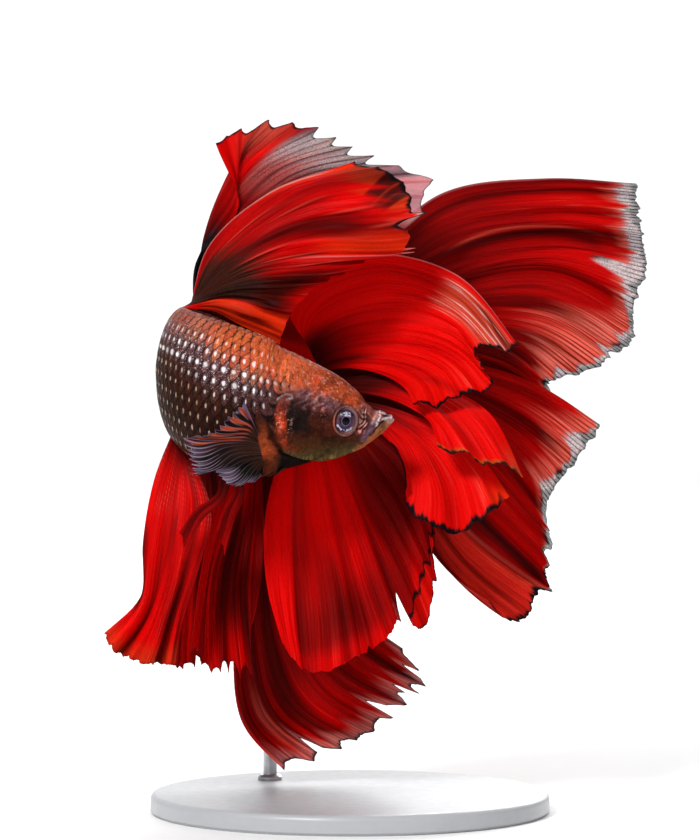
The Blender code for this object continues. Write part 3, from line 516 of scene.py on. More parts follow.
def belly_root(place):
    """A point just under the skin of the belly, at places along X and Y."""
    x, y = place
    middle, _, up, _, _, below, width = body_beside(x)
    aside = (y - middle[1]) / width
    foot = middle - up * (below * math.sqrt(1 - aside**2) - 0.2)
    return np.array([foot[0], y, foot[2]])


def rays(rows, root):
    """Each ray as a list of points, root first."""
    return np.array([[root(row[0]), *row[1:]] for row in rows], float)


# ---------------------------------------------------------------- meshes


def link(obj):
    """Puts an object into the scene."""
    bpy.context.scene.collection.objects.link(obj)
    return obj


def grid_faces(rows, columns, closed=False, offset=0):
    """Quads of a grid of points, rows by columns. A closed grid joins its last column to its first."""
    i = np.arange(rows - 1)[:, None]
    j = np.arange(columns if closed else columns - 1)[None, :]
    k = (j + 1) % columns
    a = i * columns + j
    b = i * columns + k
    quads = np.stack([a, b, b + columns, a + columns], axis=-1).reshape(-1, 4)
    return quads + offset


def grid_rim(rows, columns):
    """The outline of a grid of points: along its first row, down its last column and back."""
    first_row = np.arange(columns)
    first_column = np.arange(rows) * columns
    last_row = (rows - 1) * columns + first_row
    last_column = first_column + columns - 1
    return np.concatenate([first_row, last_column[1:], last_row[-2::-1], first_column[-2:0:-1]])


def wall(rim, other):
    """Quads between two closed lines of as many points."""
    return np.stack([rim, np.roll(rim, -1), np.roll(other, -1), other], axis=1)


def face_list(quads):
    """Faces as tuples. A quad that names a point twice becomes a triangle."""
    return [tuple(dict.fromkeys(quad)) for quad in quads.tolist()]


def new_mesh(name, points, faces, material, colours=None, values=None, maps=None):
    """A smooth mesh with named colours and values at its points, and named UV maps."""
    mesh = bpy.data.meshes.new(name)
    mesh.from_pydata(np.asarray(points, float) * MM, [], faces)
    mesh.materials.append(material)
    for key, value in (colours or {}).items():
        layer = mesh.color_attributes.new(key, "FLOAT_COLOR", "POINT")
        full = np.ones((len(points), 4), np.float32)
        full[:, :3] = value
        layer.data.foreach_set("color", full.ravel())
    for key, value in (values or {}).items():
        layer = mesh.attributes.new(key, "FLOAT", "POINT")
        layer.data.foreach_set("value", np.asarray(value, np.float32).ravel())
    corner = np.empty(len(mesh.loops), np.int32)
    mesh.loops.foreach_get("vertex_index", corner)
    for key, value in (maps or {}).items():
        layer = mesh.uv_layers.new(name=key)
        layer.data.foreach_set("uv", np.asarray(value, np.float32)[corner].ravel())
    mesh.shade_smooth()
    return link(bpy.data.objects.new(name, mesh))


def outward_faces(obj):
    """Turns every face of a closed mesh outward."""
    work = bmesh.new()
    work.from_mesh(obj.data)
    bmesh.ops.recalc_face_normals(work, faces=work.faces[:])
    if work.calc_volume(signed=True) < 0:
        bmesh.ops.reverse_faces(work, faces=work.faces[:])
    work.to_mesh(obj.data)
    work.free()


def on_model(obj, slot, *nodes):
    """Hangs a piece on the root and hides the nodes that it stands for. slot is not used."""
    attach(obj, "root")
    if nodes:
        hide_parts(*nodes)
    return obj


def on_fish(obj, slot, *nodes):
    """The same for a piece of the fish, which is lowered on to the rod."""
    obj.location.z = -FISH_DROP * MM
    return on_model(obj, slot, *nodes)


# ---------------------------------------------------------------- materials


class Nodes:
    """Short names for building a material's nodes."""

    def __init__(self, name, roughness, specular=0.5):
        self.material = bpy.data.materials.new(name)
        self.material.use_nodes = True
        self.tree = self.material.node_tree
        self.shader = self.tree.nodes["Principled BSDF"]
        self.shader.inputs["Roughness"].default_value = roughness
        self.shader.inputs["Specular IOR Level"].default_value = specular

    def put(self, socket, value):
        """Links an input to another node's output, or sets it."""
        if isinstance(value, bpy.types.NodeSocket):
            self.tree.links.new(value, socket)
        elif isinstance(value, tuple) and len(value) == 3 and socket.type == "RGBA":
            socket.default_value = (*value, 1.0)
        else:
            socket.default_value = value

    def node(self, kind, inputs, output=0, **settings):
        """One output of a new node with the given inputs, by name or number."""
        node = self.tree.nodes.new("ShaderNode" + kind)
        for key, value in settings.items():
            setattr(node, key, value)
        for key, value in inputs.items():
            self.put(node.inputs[key], value)
        return node.outputs[output]

    def value(self, name):
        return self.node("Attribute", {}, "Fac", attribute_name=name)

    def colour(self, name):
        return self.node("Attribute", {}, "Color", attribute_name=name)

    def math(self, operation, a, b=0.0):
        return self.node("Math", {0: a, 1: b}, operation=operation)

    def times(self, a, *others):
        for b in others:
            a = self.math("MULTIPLY", a, b)
        return a

    def add(self, a, b):
        return self.math("ADD", a, b)

    def minus(self, a, b):
        return self.math("SUBTRACT", a, b)

    def range(self, value, low, high, out_low=0.0, out_high=1.0):
        """A smooth step from out_low to out_high between low and high."""
        inputs = {"Value": value, "From Min": low, "From Max": high, "To Min": out_low, "To Max": out_high}
        return self.node("MapRange", inputs, interpolation_type="SMOOTHSTEP")

    def mix(self, share, a, b, blend="MIX"):
        return self.node("Mix", {0: share, 6: a, 7: b}, 2, data_type="RGBA", blend_type=blend)

    def shaded(self, tint, factor):
        return self.mix(1.0, tint, factor, "MULTIPLY")

    def layered(self, tint, *layers):
        """A colour with others laid over it in turn, each given with the share that it covers."""
        for colour, share in layers:
            tint = self.mix(share, tint, colour)
        return tint

    def noise(self, vector, scale, detail=2.0, roughness=0.5):
        inputs = {"Vector": vector, "Scale": scale, "Detail": detail, "Roughness": roughness}
        return self.node("TexNoise", inputs, "Fac")

    def scaled(self, vector, scale):
        return self.node("Mapping", {"Vector": vector, "Scale": scale})

    def uv(self, name):
        return self.node("UVMap", {}, "UV", uv_map=name)

    def position(self):
        return self.node("TexCoord", {}, "Object")

    def relief(self, height, distance, strength=1.0, after=None):
        inputs = {"Height": height, "Distance": distance, "Strength": strength}
        if after is not None:
            inputs["Normal"] = after
        return self.node("Bump", inputs)

    def finish(self, colour, normal=None, roughness=None):
        for key, value in (("Base Color", colour), ("Normal", normal), ("Roughness", roughness)):
            if value is not None:
                self.put(self.shader.inputs[key], value)
        return self.material


def fin_material(name, ray_colour=None):
    """Membrane over branching rays. The map Fin holds the ray number and the way out along the rays in mm."""
    n = Nodes(name, 0.5, 0.045)
    place = n.uv("Fin")
    ray = n.node("SeparateXYZ", {0: place})
    wobble = n.noise(n.scaled(place, (0.3, 0.07, 1)), 1.0)
    silk = n.noise(n.scaled(place, (0.62, 0.045, 1)), 1.0, 3.0, 0.55)
    fine = n.noise(n.scaled(place, (2.8, 0.10, 1)), 1.0, 2.0, 0.6)
    grain = n.noise(n.position(), 6000.0, 2.0, 0.7)
    tint = n.colour("Tint")
    # shade darkens the tint for its streaks and for painted shade, deep for painted shade in the deepest
    # folds, and bright lightens it for painted highlights on the folds' crests
    shade = n.shaded(tint, (0.30, 0.22, 0.30))
    deep = n.shaded(tint, (0.10, 0.12, 0.16))
    bright = n.shaded(tint, (1.25, 3.0, 2.0))

    # Each ray splits in two on its way out
    ray = n.add(ray, n.times(n.minus(wobble, 0.5), 0.7))
    single = n.math("PINGPONG", ray, 0.5)
    twice = n.math("PINGPONG", n.times(ray, 2.0), 0.5)
    split = n.range(n.value("share"), 0.40, 0.60)
    distance = n.node("Mix", {0: split, 2: single, 3: twice}, data_type="FLOAT")
    line = n.range(distance, 0.03, 0.19, 1.0, 0.0)

    # streak sets how strong the darker streaks and the painted shade in the folds' hollows are
    streak = n.value("streak")
    hollow = n.add(n.value("fold"), n.times(n.minus(silk, 0.5), 1.3))
    colour = n.layered(
        tint,
        (shade, n.times(streak, n.range(silk, 0.38, 0.58, 0.40, 0.0))),
        # Painted shade in the folds' hollows, deeper in the lowest
        (shade, n.times(streak, n.range(hollow, -0.60, 0.20, 0.88, 0.0))),
        (deep, n.times(streak, n.range(hollow, -1.15, -0.40, 0.75, 0.0))),
        (shade, n.times(streak, n.range(fine, 0.34, 0.52, 0.22, 0.0))),
        # Painted highlight on the folds' crests
        (bright, n.range(hollow, 0.55, 1.2, 0.0, 0.5)),
        ((0.88, 0.155, 0.10), n.times(n.value("veil"), n.range(fine, 0.38, 0.56, 0.25, 1.0))),
        (ray_colour or n.shaded(tint, (0.10, 0.09, 0.11)), n.times(line, n.value("lines"))),
        # Painted sheen: pale flecks where the value says
        ((0.78, 0.46, 0.42), n.times(n.range(fine, 0.52, 0.62), n.value("silver"))),
        # Painted pinkish glints on the folds' crests
        ((0.88, 0.13, 0.08), n.times(n.range(hollow, 0.45, 1.0), n.range(fine, 0.54, 0.66, 0.0, 0.45))),
        ((0.040, 0.024, 0.026), n.times(n.value("mottle"), n.range(grain, 0.42, 0.58, 0.85, 0.0))),
        (shade, n.range(grain, 0.40, 0.65, 0.0, 0.14)),
        (BLACK, n.value("rim")),
    )
    normal = n.relief(n.range(distance, 0.0, 0.5, 1.0, 0.0), 0.00004, 0.7)
    normal = n.relief(silk, 0.00025, 0.8, normal)
    normal = n.relief(fine, 0.00005, 0.6, normal)
    n.finish(colour, normal, n.range(silk, 0.3, 0.7, 0.58, 0.42))

    # Some light comes through the membrane, and its clearest parts show what is behind them
    glow = n.node("BsdfTranslucent", {"Color": colour, "Normal": normal})
    membrane = n.node("MixShader", {0: 0.30, 1: n.shader.outputs[0], 2: glow})
    clear = n.times(n.value("clear"), n.minus(1.0, n.times(line, 0.85)))
    whole = n.node("MixShader", {0: clear, 1: membrane, 2: n.node("BsdfTransparent", {})})
    n.put(n.tree.nodes["Material Output"].inputs["Surface"], whole)
    return n.material


def skin_material():
    """Wet skin: red and dark blotches, and pale specks where the value specks says."""
    n = Nodes("fish_skin_wet", 0.45, 0.035)
    tint = n.colour("Tint")
    place = n.position()
    fine = n.noise(place, 3200.0, 3.0, 0.6)
    coarse = n.noise(place, 900.0, 3.0, 0.6)
    speck = n.noise(place, 3600.0, 2.0, 0.6)
    blotch = n.noise(place, 1500.0, 2.0, 0.6)
    dark = n.shaded(tint, (0.22, 0.20, 0.24))
    red = n.shaded(tint, (1.7, 0.8, 0.6))
    pale = n.mix(0.8, tint, (0.85, 0.50, 0.36))
    colour = n.layered(
        tint,
        (dark, n.range(coarse, 0.36, 0.56, 0.7, 0.0)),
        (red, n.range(coarse, 0.56, 0.68, 0.0, 0.6)),
        ((0.46, 0.20, 0.17), n.times(n.range(blotch, 0.55, 0.66), n.value("specks"))),
        (dark, n.range(fine, 0.40, 0.60, 0.45, 0.0)),
        (pale, n.times(n.range(speck, 0.60, 0.68), n.value("specks"))),
    )
    normal = n.relief(fine, 0.00005, 0.7, n.relief(coarse, 0.00015, 0.5))
    return n.finish(colour, normal, n.range(fine, 0.3, 0.7, 0.35, 0.55))


def scale_material():
    """Scales with a dark edge, faint rings and a painted highlight spot. The map Scale runs outward and
    across.
    """
    n = Nodes("fish_scales", 0.4, 0.04)
    place = n.uv("Scale")
    out, side = (n.node("SeparateXYZ", {0: place}, k) for k in (0, 1))
    fine = n.noise(n.position(), 6500.0, 3.0, 0.7)
    blotch = n.noise(n.position(), 2200.0, 2.0, 0.6)
    tint, spot_highlight = n.colour("Tint"), n.colour("Spot")
    strength, gloss = n.value("spot"), n.value("gloss")
    dark = n.shaded(tint, (0.10, 0.08, 0.10))
    edge = n.mix(0.93, tint, (0.004, 0.002, 0.003))

    # The painted highlight spot leans and bows across the scale, and its outline is rough
    lean = n.minus(n.add(out, n.times(side, 0.13)), 0.70)
    bow = n.times(n.math("POWER", side, 2.0), 0.10)
    across = n.math("DIVIDE", n.add(lean, bow), n.value("spot_wide"))
    tall = n.math("DIVIDE", n.minus(side, 0.05), n.value("spot_tall"))
    reach = n.math("SQRT", n.add(n.math("POWER", across, 2.0), n.math("POWER", tall, 2.0)))
    outline = n.add(reach, n.times(fine, 1.6))
    spot = n.times(n.range(outline, 1.45, 2.1, 1.0, 0.0), strength)

    colour = n.layered(
        tint,
        (dark, n.range(blotch, 0.38, 0.58, 0.35, 0.0)),
        (dark, n.range(fine, 0.40, 0.54, 0.40, 0.0)),
        # Painted sheen: pale flecks where gloss says
        (spot_highlight, n.times(n.range(fine, 0.58, 0.66), gloss)),
        (edge, n.range(n.value("rim"), 0.15, 0.40, 0.98, 0.0)),
        # A painted halo round the highlight spot, then the painted highlight spot itself
        ((0.24, 0.17, 0.22), n.times(n.range(outline, 1.6, 3.2, 0.5, 0.0), n.times(strength, gloss))),
        (spot_highlight, spot),
    )
    rings = n.math("SINE", n.times(out, 60.0))
    normal = n.relief(fine, 0.00003, 0.7, n.relief(rings, 0.000006, 0.5))
    return n.finish(colour, normal, n.range(spot, 0.0, 1.0, 0.45, 0.25))


def eye_material():
    """A black pupil in a thin ring, a dark purple iris with pale arcs of painted highlight above and below,
    and a clear coat.
    """
    n = Nodes("fish_eye", 0.35, 0.08)
    n.shader.inputs["Coat Weight"].default_value = 0.12
    n.shader.inputs["Coat Roughness"].default_value = 0.04
    radius, rise, ahead = n.value("radius"), n.value("rise"), n.value("ahead")
    fine = n.noise(n.position(), 4200.0, 3.0, 0.65)
    iris = n.mix(n.range(fine, 0.38, 0.62), (0.004, 0.002, 0.010), (0.040, 0.020, 0.070))
    brown = n.times(n.range(radius, 0.40, 0.62), n.range(n.math("ABSOLUTE", rise), 0.25, 0.5, 1.0, 0.0))
    # Painted highlights: pale arcs low and high on the iris
    low = n.times(
        n.range(radius, 0.54, 0.60),
        n.range(radius, 0.68, 0.74, 1.0, 0.0),
        n.range(rise, -0.42, -0.25, 1.0, 0.0),
    )
    high = n.times(
        n.range(rise, 0.26, 0.36),
        n.range(n.math("ABSOLUTE", ahead), 0.16, 0.36, 1.0, 0.0),
        n.range(radius, 0.58, 0.66, 1.0, 0.0),
    )
    highlight_arcs = n.times(n.math("MAXIMUM", low, high), n.range(fine, 0.40, 0.58))
    pupil_ring = n.times(n.range(radius, 0.28, 0.30), n.range(radius, 0.31, 0.35, 1.0, 0.0))
    # The ring at the ball's edge, brownish towards the snout and dark towards the tail, is painted lighter to
    # offset the socket's shade
    outer_ring = n.mix(n.range(ahead, -0.55, 0.45), (0.24, 0.115, 0.11), (0.060, 0.026, 0.030))
    return n.finish(n.layered(
        iris,
        ((0.12, 0.045, 0.040), n.times(brown, 0.7)),
        ((0.62, 0.56, 0.66), n.times(highlight_arcs, 0.85)),
        ((0.20, 0.11, 0.15), n.times(pupil_ring, 0.6)),
        ((0.001, 0.001, 0.002), n.range(radius, 0.265, 0.285, 1.0, 0.0)),
        (outer_ring, n.range(radius, 0.70, 0.80)),
    ))


def plain_material(name, colour, roughness, metallic=0.0, grain=0.0):
    """One colour, darker by the share grain in fine patches that are also rougher."""
    n = Nodes(name, roughness)
    n.shader.inputs["Metallic"].default_value = metallic
    fine = n.noise(n.position(), 900.0, 3.0)
    shade = n.mix(n.range(fine, 0.3, 0.7), colour, tuple(c * (1 - grain) for c in colour))
    rough = n.range(fine, 0.3, 0.7, roughness, roughness * 1.25)
    return n.finish(shade, n.relief(fine, 0.00002, 0.15), rough)


# ---------------------------------------------------------------- fins


def ray_places(guides):
    """The share across the fin of each guide ray."""
    passed = runs(guides[:, 1:].mean(axis=1))
    return passed / passed[-1]


def fin_sheet(guides, shares, reach, columns, sway):
    """Points of a fin's middle sheet. Each column runs from the root to its own reach, 1 being the ray's tip.

    sway is how far across the fin the rays swing to one side and back on their way out.
    """
    fine = np.linspace(0, LONGEST_REACH, 300)
    full = np.empty((len(shares), len(fine), 3))
    for i, ray in enumerate(through(ray_places(guides), guides, shares)):
        passed = runs(ray)
        full[i] = through(passed / passed[-1], ray, fine)
    out = 1 - (1 - np.linspace(0, 1, columns)) ** 1.35
    v = out[None, :] * reach[:, None]
    swung = shares[:, None] + sway * 4 * (shares * (1 - shares))[:, None] * np.sin(TURN * v)
    row = share_of(swung) * (len(shares) - 1)
    column = v / fine[-1] * (len(fine) - 1)
    i = np.clip(row.astype(int), 0, len(shares) - 2)
    j = np.clip(column.astype(int), 0, len(fine) - 2)
    a, b = (row - i)[..., None], (column - j)[..., None]
    low = full[i, j] * (1 - b) + full[i, j + 1] * b
    high = full[i + 1, j] * (1 - b) + full[i + 1, j + 1] * b
    return low * (1 - a) + high * a, v


def sheet_normals(sheet):
    """The direction that a sheet of points faces at each of them."""
    return unit(np.cross(np.gradient(sheet, axis=0), np.gradient(sheet, axis=1)))


def margin(knots, u, tips, cuts, seed):
    """How far each column reaches: points on and between the guide rays, hollows, and a slower wave.

    tips is how many points there are for each guide ray, how deep the hollows between them are, how narrow
    the points are, and how uneven the margin is. Each of cuts is a notch: where it lies, how wide and how
    deep. A negative one stands out.
    """
    per_ray, depth, sharp, uneven = tips
    place = np.interp(u, knots, np.arange(len(knots))) * per_ray
    place = place + 0.25 * noise(place * 0.7, seed, 1) * (per_ray > 1)
    gap = np.abs(np.mod(place, 1) - 0.5) * 2
    own = np.clip(0.6 + 0.6 * noise(np.floor(place) * 0.73 + 0.2, seed + 2, 1), 0.1, 1.2)
    slow = 0.5 + 0.5 * noise(place * 0.31, seed + 1, 2)
    reach = 1 - depth * (1 - gap**sharp) * own - uneven * slow - 0.006 * noise(place * 5, seed + 3, 2)
    for centre, width, deep in cuts:
        reach = reach - deep * share_of(1 - np.abs(u - centre) / width) ** 0.8
    return reach


def folds(u, v, waves, seed):
    """Displacement of a ruffled sheet and how far up its folds each point is, from -1 to 1.

    Each wave is a count across the fin, a depth in mm and the share of the ray where it starts.
    """
    total = np.zeros_like(v)
    height = np.zeros_like(v)
    weight = 0.0
    for k, (count, depth, start) in enumerate(waves):
        swing = noise(u * count * 0.35 + 7 * k, seed + k, 1)
        phase = TURN * (count * u + 0.45 * swing) + 0.9 * k + seed
        phase = phase + 2.3 * noise(v * 2.2 + u * 1.5 + 3 * k, seed + 40 + k, 1)
        size = 0.65 + 0.6 * noise(u * count * 0.5 + v * 1.7, seed + 60 + k, 1)
        wave = (np.sin(phase) + 0.25 * np.sin(2 * phase + 1)) * size
        grown = share_of((v - start) / (1 - start)) ** 1.4
        total += depth * wave * grown
        height += wave * (0.25 + 0.75 * np.sqrt(grown)) / (k + 1) ** 0.5
        weight += 1 / (k + 1) ** 0.5
    count, depth, _ = waves[0]
    crumple = noise(u * count * 2.2 + v * 1.6, seed + 80, 2) * noise(v * 2.6 - u * count * 0.6, seed + 81, 2)
    total += 0.55 * depth * crumple * smooth(0.15, 0.6, v)
    return total, 1.25 * height / weight + 0.9 * crumple * smooth(0.1, 0.5, v)


def build_fin(
    name, guides, nodes, slot, material, paint, size, tips, waves, split, seed,
    cuts=(), sway=0.008, longer=0.4, thick=FIN_THICKNESS,
):
    """One ruffled sheet with rays: a closed thin mesh, its colours and its ray map.

    size is points across and along; split is how many rays the fin shows for each guide ray; longer is how
    much is added to each ray, in mm; margin, folds and fin_sheet say what tips, cuts, waves and sway are.
    paint takes u, v and the distance from the margin in mm, and gives the colours and the material's values.
    """
    across, along = size
    guides[:, -1] += unit(guides[:, -1] - guides[:, -2]) * longer
    u = np.linspace(0, 1, across)
    knots = ray_places(guides)
    sheet, v = fin_sheet(guides, u, margin(knots, u, tips, cuts, seed), along, sway)
    u = np.repeat(u[:, None], along, axis=1)
    ruffle, height = folds(u, v, waves, seed)
    sheet = sheet + sheet_normals(sheet) * ruffle[..., None]
    ray = np.interp(u, knots, np.arange(len(knots))) * split
    ridge = RAY_RIDGE * np.cos(TURN * ray) * smooth(0.0, 0.15, v)
    sheet = sheet + sheet_normals(sheet) * ridge[..., None]

    thickness = FIN_EDGE_THICKNESS + (thick - FIN_EDGE_THICKNESS) * fade(0.0, 0.75, v)
    half = sheet_normals(sheet) * 0.5 * thickness[..., None]
    points = np.concatenate([(sheet + half).reshape(-1, 3), (sheet - half).reshape(-1, 3)])
    count = across * along
    back = grid_faces(across, along, offset=count)[:, ::-1]
    rim = grid_rim(across, along)
    faces = np.concatenate([grid_faces(across, along), back, wall(rim, rim + count)])

    out = runs(sheet.swapaxes(0, 1)).T
    edge = out[:, -1:] - out
    tint, extra = paint(u, v, edge)
    if extra.pop("side_rim", False):
        to_side = runs(sheet[::-1])[::-1]
        edge = np.minimum(edge, 0.6 * to_side + 4.0 * fade(0.57, 0.66, v))
    ragged = edge / extra.pop("rim_width", 1.0)
    ragged = ragged + 0.14 * noise(ray * 3, seed + 9, 2) + 0.06 * noise(ray * 11, seed + 8, 1)
    values = dict.fromkeys(("silver", "veil", "clear", "mottle", "rim"), 0.0)
    values.update(share=v, fold=height, streak=1.0, lines=0.2)
    values.update(extra)
    values["rim"] = values["rim"] * fade(0.12, 0.28, ragged)

    # Both faces of the sheet carry the same
    obj = new_mesh(
        name, points, face_list(faces), material,
        colours={"Tint": np.tile(tint.reshape(-1, 3), (2, 1))},
        values={key: np.tile(np.broadcast_to(value, v.shape).ravel(), 2) for key, value in values.items()},
        maps={"Fin": np.tile(np.stack([ray, out], axis=-1).reshape(-1, 2), (2, 1))},
    )
    return on_fish(obj, slot, *nodes)


def paint_dorsal_front(u, v, edge):
    """Red with a mottled olive root, a brown band below, a bright panel and dark crumpled ends above it."""
    torn = 0.06 * noise(u * 40 + v * 9, 71, 2)
    root = fade(0.30, 0.52, v + torn + 0.38 * (u - 0.55)) * band(u, 0.12, 0.17, 0.90, 0.97)
    panel = bump(u, 0.575, 0.042) * smooth(0.55, 0.78, v)
    crumple = band(u, 0.66, 0.74, 0.94, 0.985) * smooth(0.80, 0.93, v + 1.5 * torn)
    stripe = smooth(0.0, 0.5, noise(u * 34 + 2.5 * np.sin(v * 11) + v * 4, 73, 2))
    wave = u * 78 + 3 * np.sin(v * 4.2) + 4 * v
    patchy = noise(u * 8 + v * 3, 74, 1)
    # Narrow creases with ridges beside them, for painted shade and highlights
    crease_shade = share_of(2.6 * np.maximum(0, np.sin(wave)) ** 10 * patchy)
    ridge_highlights = share_of(2.2 * np.maximum(0, np.sin(wave - 0.9)) ** 16 * patchy)
    ends = bump(u, 0.54, 0.022) + bump(u, 0.672, 0.010)
    tint = layered(
        RED,
        # Painted shadow below the fold line
        (DEEP_RED, 0.8 * bump(u + 0.05 * v, 0.50, 0.045) * smooth(0.2, 0.5, v)),
        (DEEP_RED, 0.65 * band(u, 0.62, 0.75, 0.88, 0.95) * fade(0.5, 0.8, v)),
        (MAROON, 0.7 * bump(u + 0.08 * v, 0.72, 0.022) * smooth(0.25, 0.5, v)),
        (MAROON, 0.6 * bump(u + 0.03 * v, 0.645, 0.016) * smooth(0.35, 0.6, v)),
        ((0.060, 0.008, 0.004), 0.93 * band(u, 0.12, 0.15, 0.36, 0.44) * fade(0.75, 1.0, v)),
        (FLAME, fade(0.11, 0.14, u) * smooth(0.10, 0.3, v)),
        (OLIVE, 0.97 * root),
        (FLAME, 0.9 * panel),
        # The crumpled ends, striped dark and orange as painted shade and highlights
        (mixed((0.58, 0.045, 0.007), (0.012, 0.006, 0.005), stripe), 0.9 * crumple),
        # Painted shade in the creases and painted highlights on their ridges
        (MAROON, 0.9 * crease_shade * smooth(0.40, 0.46, u) * smooth(0.2, 0.4, v)),
        ((0.85, 0.10, 0.06), 0.7 * ridge_highlights * smooth(0.42, 0.5, u) * smooth(0.2, 0.4, v)),
        # Painted highlight on the rolled edge at the last ray, with a paler painted highlight line along it
        (FLAME, 0.8 * smooth(0.95, 0.985, u) * smooth(0.50, 0.65, v)),
        ((0.85, 0.36, 0.30), 0.85 * smooth(0.984, 0.992, u) * band(v, 0.02, 0.10, 0.80, 0.92)),
        # Painted highlight along the fold line
        (PINK, 0.6 * bump(u, 0.515, 0.005) * smooth(0.5, 0.7, v)),
        ((0.70, 0.30, 0.26), 0.9 * ends * smooth(0.985, 1.005, v)),
    )
    return tint, {
        "rim": 0.98 * smooth(0.60, 0.64, u),
        "rim_width": 2.2,
        "lines": 0.08,
        "streak": 1 - 0.6 * np.maximum(panel, fade(0.10, 0.14, u)),
        "mottle": 0.35 * root,
    }


def paint_dorsal_rear(u, v, edge):
    """Dark at its root, red towards the head, then a see-through veil with dark rays, and a pink flap."""
    in_flap = smooth(0.385, 0.41, u)
    flap = in_flap * fade(0.55, 0.60, u) * smooth(0.60, 0.75, v)
    veil = smooth(0.205, 0.24, u + 0.02 * np.sin(v * 9)) * (1 - in_flap) * smooth(0.50, 0.66, v)
    far_out = smooth(0.70, 0.95, v + 0.05 * np.sin(u * 60))
    dark_rays = sum(bump(u + 0.03 * v, at, wide) for at, wide in ((0.315, 0.006), (0.36, 0.005)))
    dark_rays = dark_rays + 0.8 * bump(u, 0.255, 0.003)
    tint = layered(
        MAROON,
        (DEEP_RED, smooth(0.30, 0.55, v)),
        # Painted shade along the first rays near the root
        ((0.014, 0.010, 0.014), fade(0.05, 0.11, u) * fade(0.40, 0.58, v)),
        (RED, smooth(0.46, 0.66, v) * fade(0.20, 0.23, u)),
        (mixed((0.58, 0.10, 0.09), (0.50, 0.33, 0.33), far_out), veil),
        ((0.16, 0.012, 0.012), 0.85 * share_of(veil * dark_rays) * (1 - 0.5 * smooth(0.9, 1.0, v))),
        ((0.76, 0.30, 0.33), 0.9 * flap),
        (RED, 0.7 * flap * fade(0.70, 0.95, v + 0.06 * np.sin(u * 90))),
        # The last part: painted shade near the root, red further out
        (mixed(MAROON, (0.62, 0.0015, 0.0015), smooth(0.10, 0.40, v)), 0.97 * smooth(0.60, 0.70, u)),
    )
    return tint, {
        "clear": 0.36 * veil * smooth(0.6, 0.85, v) + 0.30 * flap,
        "veil": 0.6 * smooth(0.72, 0.95, v) * bump(u, 0.13, 0.05),
        "rim": 0.9 * fade(0.55, 0.6, u),
        "rim_width": 1.1 - 0.5 * in_flap,
        "lines": 0.10 + 0.30 * veil + 0.1 * flap,
        "mottle": 0.6 * veil,
    }


def paint_upper_front(u, v, edge):
    """Bright red from a dark root, a painted silvery sheen near the front rays, and a smooth turned-down lip.
    """
    torn = 0.03 * noise(u * 60, 72, 2)
    dark_to = 0.10 + 0.30 * smooth(0.15, 0.40, u)
    lip = smooth(0.78, 0.82, v + 0.03 * np.sin(u * 9)) * smooth(0.30, 0.36, u)
    sheen = smooth(0.66, 0.74, v + torn) * fade(0.22, 0.32, u + torn) * smooth(0.03, 0.07, u)
    tint = layered(
        MAROON,
        (RED, smooth(0.25 * dark_to, dark_to, v)),
        (MAROON, 0.85 * bump(u + 0.05 * v, 0.82, 0.06) * fade(0.70, 0.80, v)),
        ((0.95, 0.003, 0.002), 0.9 * smooth(0.10, 0.25, u) * smooth(0.30, 0.5, v)),
        ((0.88, 0.004, 0.002), lip),
        (DEEP_RED, 0.5 * lip * bump(u + 0.6 * v, 1.32, 0.03)),
        # Painted sheen near the front rays
        ((0.80, 0.10, 0.045), 0.75 * sheen),
        ((0.10, 0.008, 0.008), 0.8 * bump(u, 0.075, 0.012) * band(v, 0.78, 0.86, 0.96, 1.0)),
        # Painted highlight along the top edge at the first ray
        (PINK, 0.6 * fade(0.004, 0.012, u) * smooth(0.3, 0.5, v)),
    )
    return tint, {
        "silver": 0.8 * sheen,
        "rim": 1.0,
        "rim_width": 1.7 + 0.5 * np.sin(u * 37),
        "lines": 0.08 + 0.20 * sheen,
        "streak": 0.30 * (1 - 0.7 * lip),
    }


def paint_frill(u, v, edge):
    """Bright smooth red with a broad black margin, softly shaded in its folds."""
    tint = layered(
        MAROON,
        (RED, smooth(0.30, 0.55, v)),
        ((0.86, 0.003, 0.002), smooth(0.50, 0.65, v)),
        (DEEP_RED, 0.55 * bump(u + 0.1 * v, 0.62, 0.05) * band(v, 0.5, 0.7, 0.90, 1.0)),
        (FLAME, 0.8 * smooth(0.86, 0.96, v) * fade(0.10, 0.22, u)),
    )
    return tint, {
        "rim": smooth(0.02, 0.10, u),
        "rim_width": 3.4 + 3.4 * np.clip(noise(u * 9, 51, 2), -0.3, 1),
        "side_rim": True,
        "lines": 0.02,
        "streak": 1 - 0.82 * smooth(0.45, 0.65, v),
    }


def paint_frill_upper(u, v, edge):
    """The upper petal: as the lower one, with a thin brown margin and none along its side."""
    tint, extra = paint_frill(u, v, edge)
    tint = mixed(tint, (0.50, 0.10, 0.015), 0.8 * fade(0.25, 0.75, edge))
    extra.update(side_rim=False, rim_width=1.5 + 1.2 * noise(u * 14, 55, 2), rim=0.95 * smooth(0.02, 0.10, u))
    return tint, extra


